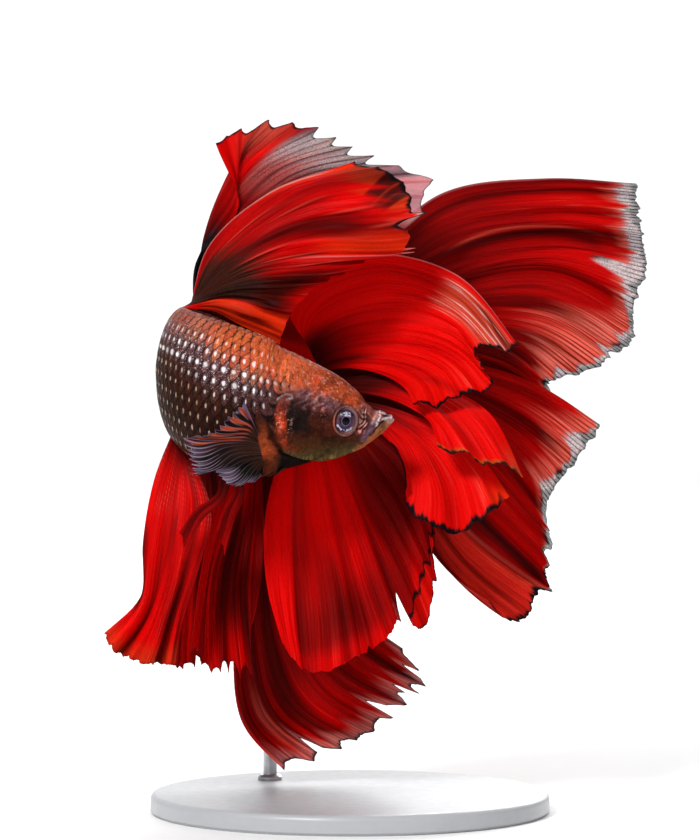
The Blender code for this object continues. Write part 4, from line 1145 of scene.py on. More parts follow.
def paint_near(u, v, edge):
    """Bright along its left rays and its end, painted shade in the hollow between, with a black wavy right
    margin.
    """
    left = smooth(0.86, 0.90, u)
    bright = (
        left
        + 1.3 * bump(u, 0.67, 0.18) * fade(0.62, 0.84, v)
        + 0.5 * bump(u, 0.46, 0.06) * fade(0.55, 0.75, v)
        + 0.8 * bump(u, 0.34, 0.05) * smooth(0.78, 0.86, v)
        + 0.9 * smooth(0.45, 0.6, u) * smooth(0.88, 0.96, v)
    )
    line_at = np.interp(u, (0.0, 0.12, 0.20, 0.30, 0.40, 0.46), (0.985, 0.90, 0.92, 0.875, 0.87, 0.985))
    line_at = line_at + 0.010 * np.sin(u * 95) + 0.006 * np.sin(u * 41 + 1)
    wavy = fade(0.007, 0.012, np.abs(v - line_at) * (1 - 0.35 * noise(u * 30, 57, 1)))
    tint = layered(
        DEEP_RED,
        (RED, share_of(bright)),
        # Painted shade in the hollow
        (MAROON, 0.72 * bump(u + 0.12 * v, 0.80, 0.070) * band(v, 0.45, 0.70, 0.80, 0.95)),
        (MAROON, 0.55 * fade(0.30, 0.42, u) * fade(0.70, 0.82, v)),
        (RED, 0.9 * smooth(0.88, 0.92, v) * bump(u, 0.36, 0.07)),
        ((0.72, 0.004, 0.002), 0.9 * (v > line_at) * (u < 0.46)),
        (BLACK, 0.97 * wavy * (u < 0.47)),
    )
    smoothed = 0.4 * left + 0.25 * fade(0.36, 0.46, u) + 0.45 * bump(u, 0.70, 0.13) * fade(0.50, 0.72, v)
    return tint, {"rim": fade(0.40, 0.46, u), "rim_width": 0.8, "lines": 0.05, "streak": 0.62 - smoothed}


def paint_far(u, v, edge):
    """Deep red with a dark root; a grey see-through fringe whose inner border breaks up along the rays."""
    torn = noise(u * 110, 3, 2)
    slow = 0.5 + 0.5 * noise(u * 13, 21, 2)
    width = np.interp(u, *zip(*FRINGE))
    ragged = 1.1 * torn * (1 - 0.85 * smooth(0.76, 0.82, u)) * np.clip(width, 0.2, 1.2)
    width = np.maximum(width * (0.85 + 0.4 * slow) + ragged, 0.05)
    veil_width = width * 1.5 + 9.0 * bump(u, 0.35, 0.07) + 3.5 * bump(u, 0.61, 0.08)
    veil = fade(0.30 * veil_width, 1.15 * veil_width, edge)

    # A grey tongue, with a black edge, reaches inward from the fringe
    tongue_end = 0.186 + 0.16 * (v - 0.85)
    tongue = smooth(0.176, 0.181, u + 0.003 * torn) * fade(tongue_end, tongue_end + 0.006, u)
    tongue = tongue * smooth(0.85, 0.88, v + 0.03 * torn)
    tongue_edge = bump(u, 0.180, 0.004) * band(v, 0.84, 0.86, 0.88, 0.91)
    grey = share_of(fade(width * 0.60, width * 1.10, edge) + tongue) * (1 - 0.75 * smooth(0.80, 0.86, u))

    # A fold across the rays: a painted highlight line along it and painted shade below it
    crease_at = 0.135 + 0.02 * np.sin(v * 7)
    crease = band(v, 0.45, 0.55, 0.84, 0.90)
    tint = layered(
        MAROON,
        (DEEP_RED, smooth(0.30, 0.55, v)),
        (RED, 0.55 * smooth(0.50, 0.85, v) * (1 - 0.6 * bump(u, 0.27, 0.04))),
        (MAROON, 0.9 * bump(u, 0.46, 0.05) * fade(0.80, 0.97, v)),
        (MAROON, 0.8 * smooth(0.78, 0.82, u) * fade(0.55, 0.8, v)),
        # Painted shadow above the lowest blade
        ((0.030, 0.002, 0.003), 0.9 * bump(u - 0.03 * v, 0.835, 0.016) * band(v, 0.5, 0.6, 0.93, 0.98)),
        ((0.80, 0.030, 0.016), 0.75 * smooth(0.885, 0.905, u) * smooth(0.5, 0.66, v)),
        # Painted highlight along the lowest blade's top edge
        ((0.85, 0.14, 0.10), 0.7 * bump(u, 0.893, 0.004) * smooth(0.5, 0.6, v)),
        ((0.80, 0.09, 0.05), 0.75 * crease * bump(u, crease_at, 0.004)),
        (MAROON, 0.7 * crease * bump(u, crease_at + 0.020, 0.014)),
        (GREY, 0.95 * grey),
        (BLACK, 0.8 * tongue_edge),
        # Painted highlight along the top edge
        (PINK, 0.5 * fade(0.002, 0.006, u) * smooth(0.3, 0.5, v) * (1 - grey)),
    )
    return tint, {
        "clear": (0.40 * grey + 0.06 * veil) * (1 - 0.8 * smooth(0.78, 0.84, u)),
        "veil": 0.85 * veil * (1 - grey),
        "silver": 0.16 * veil * (1 - grey),
        "rim": 1.0,
        "rim_width": 2.6 + 3.4 * np.clip(noise(u * 42, 53, 2), -0.5, 1),
        "lines": 0.06 + 0.72 * veil,
        "mottle": 0.6 * grey,
        "streak": 1 - 0.4 * grey,
    }


def paint_anal_front(u, v, edge):
    """The foremost part of the anal fin: rows of tiny pale dots run down its rays from the body."""
    dots = np.maximum(np.cos(TURN * u * 24), 0) ** 4 * np.maximum(np.cos(TURN * v * 40 + 9 * u), 0) ** 2
    tint = layered(
        MAROON,
        (RED, smooth(0.03, 0.22, v)),
        (DEEP_RED, 0.6 * bump(u + 0.35 * v, 0.62, 0.07) * band(v, 0.3, 0.5, 0.80, 0.9)),
        (MAROON, 0.80 * smooth(0.78, 0.95, u) * band(v, 0.40, 0.52, 0.76, 0.84)),
        (DEEP_RED, 0.8 * fade(0.02, 0.10, u)),
        (MAROON, 0.55 * bump(u, 0.20, 0.13) * band(v, 0.25, 0.45, 0.75, 0.9)),
        (MAROON, 0.5 * bump(u - 0.25 * v, 0.42, 0.045) * band(v, 0.25, 0.4, 0.70, 0.85)),
        ((0.72, 0.045, 0.010), 0.6 * smooth(0.86, 0.97, v)),
        ((0.75, 0.30, 0.20), 0.45 * dots * band(v, 0.05, 0.12, 0.30, 0.42)),
    )
    return tint, {"rim": 0.3, "lines": 0.06, "streak": 0.7}


def paint_anal_middle(u, v, edge):
    """Deep red, a little brighter at its ends."""
    tint = layered(MAROON, (DEEP_RED, smooth(0.1, 0.4, v)), (RED, 0.8 * smooth(0.6, 0.9, v)))
    return tint, {"rim": 0.5, "lines": 0.08}


def paint_anal_inner(u, v, edge):
    """Bright in front, then dark between a bright root and bright ends."""
    tint = layered(
        DEEP_RED,
        (RED, fade(0.20, 0.42, u)),
        (RED, 0.8 * smooth(0.72, 0.92, v)),
        (MAROON, 0.75 * bump(u - 0.15 * v, 0.48, 0.20) * band(v, 0.25, 0.45, 0.66, 0.84)),
        (RED, 0.6 * bump(u, 0.55, 0.18) * fade(0.25, 0.4, v)),
    )
    return tint, {"rim": 0.4, "lines": 0.07}


def paint_anal_rear(u, v, edge):
    """Deep red with painted shade in its hollows, and a fringe that pales unevenly."""
    hollows = 0.75 * bump(u + 0.05 * v, 0.36, 0.05) + 0.5 * bump(u, 0.62, 0.04) + 0.5 * bump(u, 0.82, 0.03)
    fringe = fade(0.4, 3.0 + 1.6 * noise(u * 40, 31, 2), edge)
    tint = layered(
        MAROON,
        (DEEP_RED, smooth(0.30, 0.62, v)),
        (RED, 0.65 * smooth(0.66, 0.92, v)),
        # Painted shade in the hollows
        (MAROON, hollows),
        ((0.75, 0.12, 0.08), 0.7 * bump(u - 0.06 * v, 0.10, 0.03) * smooth(0.66, 0.80, v)),
        ((0.70, 0.20, 0.18), 0.6 * fringe),
    )
    return tint, {
        "rim": 0.9,
        "rim_width": 1.3,
        "lines": 0.08 + 0.45 * fringe,
        "clear": 0.15 * fringe,
        "veil": 0.3 * fringe,
    }


def paint_pectoral(u, v, edge):
    """Orange windows between dark rays in the upper part, near black in the middle, and frayed lilac ends."""
    window = band(v, 0.22, 0.40, 0.82, 0.95) * fade(0.34, 0.46, u)
    stripe = smooth(-0.2, 0.3, np.sin(u * 88 + 1.5 * np.sin(v * 5)))
    lilac = 0.55 * smooth(0.62, 0.98, v + 0.15 * noise(u * 50, 61, 2)) * smooth(0.34, 0.48, u)
    lilac = lilac + 0.55 * fade(0.05, 0.18, edge) + fade(0.010, 0.026, u)
    tint = layered(
        (0.060, 0.022, 0.012),
        ((0.022, 0.009, 0.008), smooth(0.2, 0.5, v)),
        ((0.50, 0.065, 0.014), 0.95 * window * stripe),
        ((0.005, 0.006, 0.003), 0.9 * bump(u, 0.78, 0.20) * bump(v, 0.45, 0.30)),
        (LILAC, np.clip(lilac, 0, 0.85)),
    )
    return tint, {"lines": 0.10 + 0.75 * smooth(0.42, 0.85, v) * smooth(0.30, 0.45, u) + 0.2 * window}


def paint_pelvic(u, v, edge):
    """Dark red, with no dark margin."""
    tint = layered(MAROON, (DEEP_RED, smooth(0.1, 0.5, v)), (RED, 0.35 * smooth(0.5, 0.9, v)))
    return tint, {"lines": 0.05}


# ---------------------------------------------------------------- body colours and skin


def by_height(colours, t):
    """The colour at each height, from a list of heights and their colours."""
    heights, tones = zip(*colours)
    return np.stack([np.interp(t, heights, channel) for channel in zip(*tones)], axis=-1)


def markings(s, t):
    """The height whose flank colours show at a place: towards the tail the darker ones climb up the side."""
    climb = np.interp(s, (13.0, 15.0, 23.0), (0.09, 0.0, -0.36))
    return t + climb * smooth(-0.35, 0.25, t)


def body_colour(s, t):
    """The ground colour of skin and scales."""
    flank = by_height(FLANK_COLOURS, markings(s, t) + 0.04 * np.sin(s * 0.9))
    return layered(
        flank,
        ((0.42, 0.13, 0.085), 0.7 * smooth(0.92, 1.0, t)),
        # Painted pale sheen on the upper side past the bend
        ((0.22, 0.090, 0.085), 0.5 * smooth(17, 21, s) * smooth(0.50, 0.75, t)),
        (by_height(HEAD_COLOURS, t), fade(9.4, 11.4, s + 1.5 * smooth(0.3, 0.8, t))),
        ((0.33, 0.056, 0.014), 0.9 * bump(s, 12.2, 1.2) * bump(t, -0.52, 0.30)),
        ((0.030, 0.012, 0.009), 0.8 * bump(s, 12.6, 0.8) * bump(t, -0.05, 0.16)),
        (MAROON, 0.6 * smooth(36, 43, s)),
    )


def gill_edge(t):
    """Distance from the lips of the gill cover's rear edge, at each height t."""
    return np.interp(t, *zip(*GILL_REAR))


def from_line(s, rise, line):
    """Distance of each point of the head's side from a bent line, and the share of the line passed there."""
    line = np.asarray(line, float)
    passed = runs(line) / runs(line)[-1]
    nearest = np.full_like(s, np.inf)
    place = np.zeros_like(s)
    for k, (start, step) in enumerate(zip(line, np.diff(line, axis=0))):
        along, above = s - start[0], rise - start[1]
        share = share_of((along * step[0] + above * step[1]) / (step @ step))
        gap = np.hypot(along - share * step[0], above - share * step[1])
        place = np.where(gap < nearest, passed[k] + share * (passed[k + 1] - passed[k]), place)
        nearest = np.minimum(gap, nearest)
    return nearest, place


def on_line(s, rise, line, width, beside=0.0):
    """1 on a bent line, or beside it, and less over the width."""
    return bump(from_line(s, rise, line)[0], beside, width)


# The parts of the head below take s, t, the height from the middle line in mm, and flat, which is 1 on the
# sides and 0 on the back and belly. Each gives its relief in mm and its colours as layers.


def gill_cover(s, t, rise, flat):
    """A raised plate with a glowing spot at its rear edge, a dark patch before it and a slit behind it."""
    rear = s - gill_edge(t)
    side = band(t, -0.93, -0.80, 0.30, 0.40)
    slit = bump(rear, 0.42, 0.32)
    curl = on_line(s, rise, GILL_CURL, 0.075) * flat
    rays_on_it = 0.72 + 0.28 * np.sin(rise * 5 + 2 * np.sin(rear * 6))
    glow = side * band(rear, -1.35, -0.65, -0.05, 0.03) * smooth(-0.72, -0.50, t)
    glow = glow * (1 - 0.45 * smooth(0.0, 0.25, t)) * rays_on_it
    patch = band(rear, -3.6, -2.9, -1.35, -0.95) * band(t, -0.42, -0.20, 0.24, 0.34)
    relief = side * (0.18 * band(rear, -4.5, -0.25, -0.10, 0.06) - 0.36 * slit) + 0.07 * curl
    return relief, [
        ((0.30, 0.036, 0.012), 0.85 * glow),
        ((0.85, 0.075, 0.018), 0.95 * spot(rear + 0.75, (rise + 0.85) * 0.62, 0.52) * glow),
        ((0.009, 0.006, 0.005), 0.92 * patch),
        # Painted shade in the slit behind the cover
        ((0.010, 0.005, 0.004), 0.92 * side * bump(rear, 0.40, 0.32)),
        ((0.50, 0.38, 0.38), 0.8 * curl),
    ]


def cheek_and_throat(s, t, rise, flat):
    """Two bone edges, pale patches behind the eye, a golden margin and dark membranes in the gap below."""
    side = band(t, -0.93, -0.80, 0.30, 0.40)
    bones = 0.05 * bump(s, 7.9 + 0.5 * t, 0.30) - 0.06 * bump(s, 8.4 + 0.5 * t, 0.22)
    lilac = spot(s - 7.0, (rise - 1.45) * 1.5, 0.75) + 0.7 * spot(s - 9.2, rise - 2.2, 0.8)
    folded = bump(s, 8.2, 1.2) * band(rise, 0.5, 0.9, 2.2, 2.7) * flat
    pleats = np.sin(s * 7 - 5 * np.sin(rise * 1.9) + 1.5 * np.sin(rise * 5.3))
    margin_gap, along_edge = from_line(s, rise, CHEEK_EDGE)
    golden = bump(margin_gap, 0.0, 0.28) * smooth(-1.0, -0.99, t)
    dots = smooth(0.1, 0.7, noise(along_edge * 60, 5, 2))
    below = (rise < np.interp(s, *zip(*sorted(CHEEK_EDGE)))) & (s > 5.5)
    throat = below * smooth(0.14, 0.36, margin_gap) * band(s, 5.6, 7.0, 10.4, 11.6)
    relief = side * bones + 0.05 * folded * pleats + 0.06 * bump(margin_gap, 0.0, 0.14) - 0.28 * throat
    return relief, [
        ((0.20, 0.10, 0.12), 0.55 * share_of(lilac) * flat),
        # Painted highlights on the pleats' crests and painted shade between them
        (mixed((0.14, 0.020, 0.020), (0.46, 0.24, 0.22), smooth(0.2, 0.9, pleats)), 0.55 * folded),
        (mixed((0.09, 0.065, 0.022), (0.34, 0.24, 0.09), dots), 0.65 * golden),
        ((0.004, 0.003, 0.003), 0.97 * throat),
    ]


def mouth(s, t, rise, flat):
    """Lips with a painted pearly sheen, a little apart, a crease behind them and a tan chin; the gap and the
    crease are painted dark as shade.
    """
    upper_lip = on_line(s, rise, UPPER_LIP, 0.17)
    lower_lip = on_line(s, rise, LOWER_LIP, 0.13)
    lip_back = on_line(s, rise, LIP_BACK, 0.17) * flat
    opening = on_line(s, rise, MOUTH_OPENING, 0.12)
    crease, passed = from_line(s, rise, CREASE[2:])
    crease = bump(crease, 0.0, 0.060) * fade(0.70, 0.95, passed)
    under = fade(2.2, 3.4, s + 0.25 * rise) * (rise < np.interp(s, *zip(*CREASE)))
    chin = mixed((0.33, 0.105, 0.034), (0.50, 0.26, 0.20), fade(0.2, 1.0, s + 0.3 * rise))
    lip_sheen = 0.5 + 0.5 * np.sin(s * 11 + 2.4 * np.sin(rise * 9))
    relief = 0.06 * upper_lip + 0.10 * lower_lip + 0.07 * lip_back - 0.18 * opening - 0.20 * crease * flat
    return relief, [
        ((0.16, 0.055, 0.048), 0.7 * fade(2.2, 4.2, s) * smooth(-1.2, -0.2, rise)),
        (chin, 0.88 * under),
        # Painted sheen on the lips: pale streaks over their pinkish colour
        (mixed((0.34, 0.19, 0.22), (1.0, 0.91, 0.94), lip_sheen), 0.92 * np.maximum(upper_lip, lip_back)),
        ((0.78, 0.62, 0.66), 0.92 * lower_lip),
        # Painted shade in the gap between the lips
        ((0.020, 0.007, 0.012), 0.95 * share_of(opening * 1.3)),
        # Painted shade in the crease behind the lips
        (MOUTH_CREASE_SHADE, share_of(crease * 1.2)),
    ]


def snout(s, t, rise, flat):
    """Wrinkles, the nostril, and behind the lips a pink band and a purple jaw bone."""
    pink = on_line(s, rise, PINK_BAND, 0.20) * flat
    bone = on_line(s, rise, JAW_BONE, 0.26) * flat
    bone_at = np.interp(-rise, [-height for _, height in JAW_BONE], [place for place, _ in JAW_BONE])
    behind_bone = on_line(s, rise, JAW_BONE, 0.14, beside=0.42) * (s > bone_at) * flat
    wrinkled = bump(s, 3.25, 0.60) * band(rise, -1.1, -0.5, 1.7, 2.2) * flat
    wrinkle = np.sin(s * 7.5 + 3 * np.sin(rise * 3.1)) * np.sin(rise * 6.2 + 2.5 * np.sin(s * 4.0))
    nostril = spot(s - 3.52, rise - 1.49, 0.15) * flat
    relief = 0.06 * pink + 0.05 * bone + 0.09 * wrinkled * wrinkle - 0.16 * nostril
    return relief, [
        ((0.26, 0.115, 0.13), 0.6 * spot((s - 3.0) * 0.8, rise - 1.9, 0.55) * flat),
        # Painted highlights on the wrinkles' ridges and painted shade in their creases
        (mixed((0.085, 0.016, 0.016), (0.72, 0.34, 0.28), smooth(0.02, 0.30, wrinkle)), 0.92 * wrinkled),
        ((0.055, 0.010, 0.010), 0.8 * behind_bone),
        ((0.165, 0.080, 0.125), 0.92 * bone),
        ((0.66, 0.33, 0.28), 0.88 * pink),
        # Painted shade in the nostril's pit
        ((0.012, 0.006, 0.006), 0.9 * nostril),
    ]


def skin_shape(s, t, rise, flat):
    """Relief of the skin in mm, and its colour."""
    relief = -SKIN_DEPTH * smooth(11.0, 12.0, s)
    colour = body_colour(s, t)
    for part in (gill_cover, cheek_and_throat, mouth, snout):
        raised, layers = part(s, t, rise, flat)
        relief = relief + raised
        colour = layered(colour, *layers)
    return relief, colour


def eye_frame(side):
    """The eye's middle, the way to the tail, up and outward. side is 1 on the fish's left, else -1."""
    middle, along, up, left, _, _, width = body_at(EYE_STATION)
    return middle + up * EYE_RISE + left * side * (width - EYE_DEPTH), along, up, left * side


def eye_socket(base, relief, colour, side):
    """The skin's relief and colour with a socket for one eye, a rim round it and a crease outside that."""
    centre, along, up, out = eye_frame(side)
    away = base - centre
    radius = np.hypot((away @ along) / EYE_LENGTH, (away @ up) * 0.93)
    radius = np.where(away @ out > 0, radius, np.inf)
    rim = bump(radius, 1.30, 0.11) + 0.45 * bump(radius, 1.62, 0.10)
    crease = bump(radius, 1.47, 0.07)
    fold_under = bump(radius, 1.58, 0.10) * (away @ up < 0)
    relief = np.where(radius < 1.75, np.maximum(relief, -0.02), relief)
    relief = relief - 0.75 * fade(1.06, 1.20, radius) + 0.13 * rim - 0.06 * crease
    return relief, layered(
        colour,
        ((0.20, 0.070, 0.052), 0.9 * bump(radius, 1.24, 0.17)),
        # Painted highlight: a thin pale line along the rim
        ((0.44, 0.20, 0.16), 0.6 * bump(radius, 1.34, 0.04)),
        ((0.12, 0.050, 0.048), fade(1.06, 1.12, radius)),
        # Painted shade in the crease and the fold under the eye
        ((0.060, 0.010, 0.009), 0.45 * np.maximum(fold_under, crease)),
    )


def end_cap(ring, tone, first, start, s, lips):
    """Points, colours and faces that close one end of the skin.

    The lips roll in round the closed mouth; the tail's end is closed behind the fin's roots. first is the
    number of the last ring's first point, and start that of the cap's.
    """
    around = len(ring)
    _, axis, up, *_ = body_at(s)
    axis = -axis if lips else axis
    steps = 6 if lips else 3
    centre = ring.mean(axis=0)
    height = (ring - centre) @ up
    last = first + np.arange(around)
    points, colours, faces = [], [], []
    for k in range(1, steps + 1):
        share = 1 - (k / (steps + 1)) ** 1.5
        slit = bump(height * share, 0.10, 0.10) * lips
        # Painted shade in the slit where the lips meet
        dark = bump(height * share, 0.10, 0.09) * lips
        swell = LIP_ROLL * math.sqrt(1 - share**2) * (1 - 0.8 * slit)
        points.append(centre + (ring - centre) * share + axis * swell[:, None])
        colours.append(layered(tone, ((0.60, 0.46, 0.48), 0.6 * lips), ((0.02, 0.01, 0.01), dark)))
        here = start + (k - 1) * around + np.arange(around)
        faces.append(wall(last, here))
        last = here
    points.append(centre[None] + axis * LIP_ROLL * (0.3 if lips else 1))
    colours.append(colours[-1].mean(axis=0)[None])
    faces.append(wall(last, np.full(around, start + steps * around)))
    faces = np.concatenate(faces)
    return np.concatenate(points), np.concatenate(colours), faces[:, ::-1] if lips else faces


def build_skin(material):
    """One closed skin from the lips to the root of the tail fin, with the eyes' sockets and rims."""
    head_rows = np.linspace(0.0, HEAD_END, SKIN_HEAD_ROWS)
    rows = np.concatenate([head_rows, np.linspace(HEAD_END, BODY_LENGTH, SKIN_BODY_ROWS)[1:]])
    angles = np.linspace(0, TURN, SKIN_AROUND, endpoint=False)
    s, angle = (g.ravel() for g in np.meshgrid(rows, angles, indexing="ij"))
    t = np.sin(angle)
    middle, _, up, *_ = body_frame(s)
    base = section(s, angle)
    rise = np.einsum("ij,ij->i", base - middle, up)
    moved = jaw_and_lips(s, t, rise)
    base = base + up * moved[:, None]
    rise = rise + moved
    relief, colour = skin_shape(s, t, rise, smooth(0.25, 0.6, np.abs(np.cos(angle))))
    for side in (-1, 1):
        relief, colour = eye_socket(base, relief, colour, side)

    grid = base.reshape(len(rows), SKIN_AROUND, 3)
    ring = np.gradient(np.concatenate([grid[:, -1:], grid, grid[:, :1]], axis=1), axis=1)[:, 1:-1]
    normal = unit(np.cross(ring, np.gradient(grid, axis=0))).reshape(-1, 3)
    inward = np.einsum("ij,ij->i", normal, base - middle) < 0
    skin = base + np.where(inward[:, None], -normal, normal) * relief[:, None]

    points, colours, faces = [skin], [colour], [grid_faces(len(rows), SKIN_AROUND, closed=True)]
    for row, lips in ((0, True), (len(rows) - 1, False)):
        first = row * SKIN_AROUND
        last_ring = slice(first, first + SKIN_AROUND)
        start = sum(map(len, points))
        cap = end_cap(skin[last_ring], colour[last_ring], first, start, rows[row], lips)
        for whole, part in zip((points, colours, faces), cap):
            whole.append(part)
    points = np.concatenate(points)

    # Pale specks on the forehead, the gill cover's spot and the cheek
    forehead = fade(9, 13, s) * smooth(0.35, 0.6, t) * smooth(2.6, 4.0, s)
    gill_spot = spot(s - gill_edge(t) + 0.75, (rise + 0.85) * 0.7, 0.7)
    specks = np.zeros(len(points))
    specks[: len(s)] = 0.40 * forehead + 0.9 * gill_spot + 0.30 * spot(s - 7.4, rise - 1.5, 1.3)
    obj = new_mesh(
        "fish_skin", points, face_list(np.concatenate(faces)), material,
        colours={"Tint": np.concatenate(colours)}, values={"specks": specks},
    )
    outward_faces(obj)
    on_fish(obj, "fish_skin", "head", "trunk_front", "trunk_bend", "tail")


# ---------------------------------------------------------------- scales and eyes


def even_angles(count):
    """Angles that part the body's outline into even lengths, from the back round by the left side."""
    fine = np.linspace(0, TURN, 2000)
    passed = runs(section(np.full(2000, 15.0), fine))
    start = np.interp(TURN / 4, fine, passed)
    places = (start + passed[-1] * np.arange(count) / count) % passed[-1]
    return np.interp(places, passed, fine)


def first_scale(t):
    """Where a row starts: behind the gill cover and the pectoral fin, and further forward on the back."""
    first = max(float(gill_edge(t)), 10.2) + 0.45
    first += (13.5 - first) * float(band(t, -1.0, -0.9, -0.10, 0.10))
    if t > 0.28:
        first = min(first, 11.9 - 3.4 * float(smooth(0.28, 0.55, t)))
    return first


def scale_places(angles):
    """Where each scale is rooted: distance along the body and row number. Neighbouring rows are staggered."""
    found = []
    for k, angle in enumerate(angles):
        first = first_scale(math.sin(angle))
        s = first - first % SCALE_STEP + (k % 2) * SCALE_STEP / 2
        if s < first - 0.3:
            s += SCALE_STEP
        while s < BODY_LENGTH - 0.9:
            found.append((s, k))
            s += SCALE_STEP
    return found


def scale_looks(s, t, rng):
    """Each scale's ground colour, its painted highlight spot's colour, and the spot's strength, sizes and the
    gloss of its painted sheen.
    """
    n = len(s)
    ground = body_colour(s, t) * (1 + 0.18 * rng.uniform(-1, 1, (n, 1)))
    ground = ground * (1 + 0.10 * rng.uniform(-1, 1, (n, 3)))
    height = markings(s, t)
    upper = smooth(-0.04, 0.16, height)
    strength = (0.35 + 0.65 * bump(t, 0.40, 0.42)) * fade(0.84, 0.93, t) * fade(36, 42, s)
    strength = np.where(upper > 0.5, strength, 0.75)
    strength = strength * (0.15 + 0.85 * smooth(11.2, 14.0, s + 2.0 * fade(0.1, 0.6, t)))
    # spot and its sizes set each scale's painted highlight, and gloss its painted sheen
    values = {
        "spot": strength * rng.uniform(0.35, 0.95, n),
        "gloss": 0.7 * bump(height, 0.33, 0.24) * fade(30, 38, s) * smooth(11.5, 14.5, s),
        "spot_wide": (0.044 + 0.072 * bump(t, 0.44, 0.22)) * rng.uniform(0.7, 1.4, n),
        "spot_tall": np.where(upper > 0.5, 0.21, 0.20) * rng.uniform(0.7, 1.15, n),
    }
    return {"Tint": ground, "Spot": mixed((0.62, 0.44, 0.30), (0.90, 0.85, 0.84), upper)}, values


def build_scales(material):
    """Overlapping scales, each a thin closed plate that follows the body, joined in two lengths."""
    rng = np.random.default_rng(SCALE_SEED)
    count = 2 * round(HALF_GIRTH / SCALE_ROW)
    angles = even_angles(count)
    ahead, behind = (np.roll(angles, -1) - angles) % TURN, (angles - np.roll(angles, 1)) % TURN
    half_angles = 0.5 * (ahead + behind) * SCALE_OVERLAP
    places = np.array(scale_places(angles))
    in_front = places[:, 0] < SCALES_PART_AT

    # One scale: p runs from its root to its free edge, q across it
    long, wide = SCALE_GRID
    p = np.linspace(0, 1, long)
    rounded = np.sqrt(1 - share_of((p - 0.5) / 0.5) ** 2.3)
    outline = np.where(p < 0.5, 0.86 + 0.14 * np.sin(p * math.pi), rounded)
    outline[-1] = SCALE_TIP_WIDTH
    p, q = np.meshgrid(p, np.linspace(-1, 1, wide), indexing="ij")
    bow = np.sqrt(1 - 0.35 * q**2 * (p > 0.45))
    dome = SCALE_DOME * (1 - q**2) * smooth(0.2, 0.6, p) - SCALE_TIP_DROP * smooth(0.85, 1.0, p)
    cells = long * wide
    rim = grid_rim(long, wide)
    per = cells + len(rim)
    under = np.arange(cells, per)
    quads = np.concatenate([grid_faces(long, wide), wall(rim, under)[:, ::-1]])
    local = np.stack([p.ravel(), q.ravel()], axis=-1)
    local = np.concatenate([local, local[rim]])
    from_edge = np.concatenate([np.minimum(1 - np.abs(q), (1 - p) * 1.7).ravel(), np.zeros(len(rim))])

    for length, node, chosen in (("front", "trunk_front", in_front), ("rear", "trunk_bend", ~in_front)):
        s0, k = places[chosen].T
        k = k.astype(int)
        n = len(s0)
        t = np.sin(angles[k])
        rise = SCALE_RISE + rng.normal(0, SCALE_TILT, n)[:, None, None]
        s = np.minimum(s0[:, None, None] - 0.55 * SCALE_STEP + SCALE_LENGTH * p * bow, BODY_LENGTH - 0.05)
        angle = (angles[k, None] + half_angles[k, None] * (q * outline[:, None]).ravel()).ravel()
        proud = (rise * smooth(0.0, 0.75, p) + dome - SCALE_ROOT_DEPTH).ravel()
        top = section(s.ravel(), angle, proud).reshape(n, cells, 3)
        low = section(s.ravel(), angle, proud - SCALE_THICKNESS).reshape(n, cells, 3)[:, rim]
        first = (np.arange(n) * per)[:, None, None]
        faces = face_list((quads + first).reshape(-1, 4)) + face_list(under + first[:, 0])
        colours, values = scale_looks(s0, t, rng)
        softer = 0.25 * fade(12.5, 15.5, s0) * smooth(0.42, 0.6, t)
        home = np.stack([0.03 + 0.94 * s0 / BODY_LENGTH, 0.03 + 0.94 * k / count], axis=-1)
        bake = home[:, None, :] + (local - (0.5, 0.0)) * (0.003, 0.0015)
        spread = {key: np.repeat(value, per, axis=0) for key, value in (colours | values).items()}
        obj = new_mesh(
            "fish_scales_" + length, np.concatenate([top, low], axis=1).reshape(-1, 3), faces, material,
            colours={key: spread[key] for key in colours},
            values={key: spread[key] for key in values} | {"rim": from_edge + softer[:, None]},
            maps={"OFBake": bake.reshape(-1, 2), "Scale": np.tile(local, (n, 1))},
        )
        outward_faces(obj)
        on_fish(obj, "fish_skin", node)


def build_eye(side, word, material):
    """A flattened ball with its pole to the side, and the iris's radius and height at each point."""
    centre, along, up, out = eye_frame(side)
    across, rows = 96, 48
    polar = np.linspace(0, math.pi, rows)[1:-1].repeat(across)
    turn = np.tile(np.linspace(0, TURN, across, endpoint=False), rows - 2)
    radius = np.sin(polar)
    ahead = EYE_LENGTH * radius * np.cos(turn)
    rise = radius * np.sin(turn)
    depth = np.cos(polar) * EYE_BULGE
    ball = centre + EYE_RADIUS * (ahead[:, None] * along + rise[:, None] * up) + depth[:, None] * out
    poles = centre + np.array([[EYE_BULGE], [-EYE_BULGE]]) * out
    count = len(ball)
    ring = np.arange(across)
    faces = np.concatenate([
        grid_faces(rows - 2, across, closed=True),
        wall(ring, np.full(across, count))[:, ::-1],
        wall(ring + count - across, np.full(across, count + 1)),
    ])
    values = {
        "radius": np.append(np.where(depth > 0, radius, 1.0), [0.0, 1.0]),
        "rise": np.append(rise, [0.0, 0.0]),
        "ahead": np.append(ahead, [0.0, 0.0]),
    }
    points = np.concatenate([ball, poles])
    obj = new_mesh("fish_eye_" + word, points, face_list(faces), material, values=values)
    outward_faces(obj)
    on_fish(obj, "eye", "eye_" + word)


# ---------------------------------------------------------------- stand and studio


def quarter(points):
    """A quarter turn of an arc: how far it has gone ahead and aside at each point."""
    angles = np.linspace(0, TURN / 4, points)
    return np.sin(angles), 1 - np.cos(angles)


def finish_solid(obj):
    """A solid with its faces outward and its corners sharp."""
    outward_faces(obj)
    obj.data.set_sharp_from_angle(angle=SHARP_EDGE)
    return obj


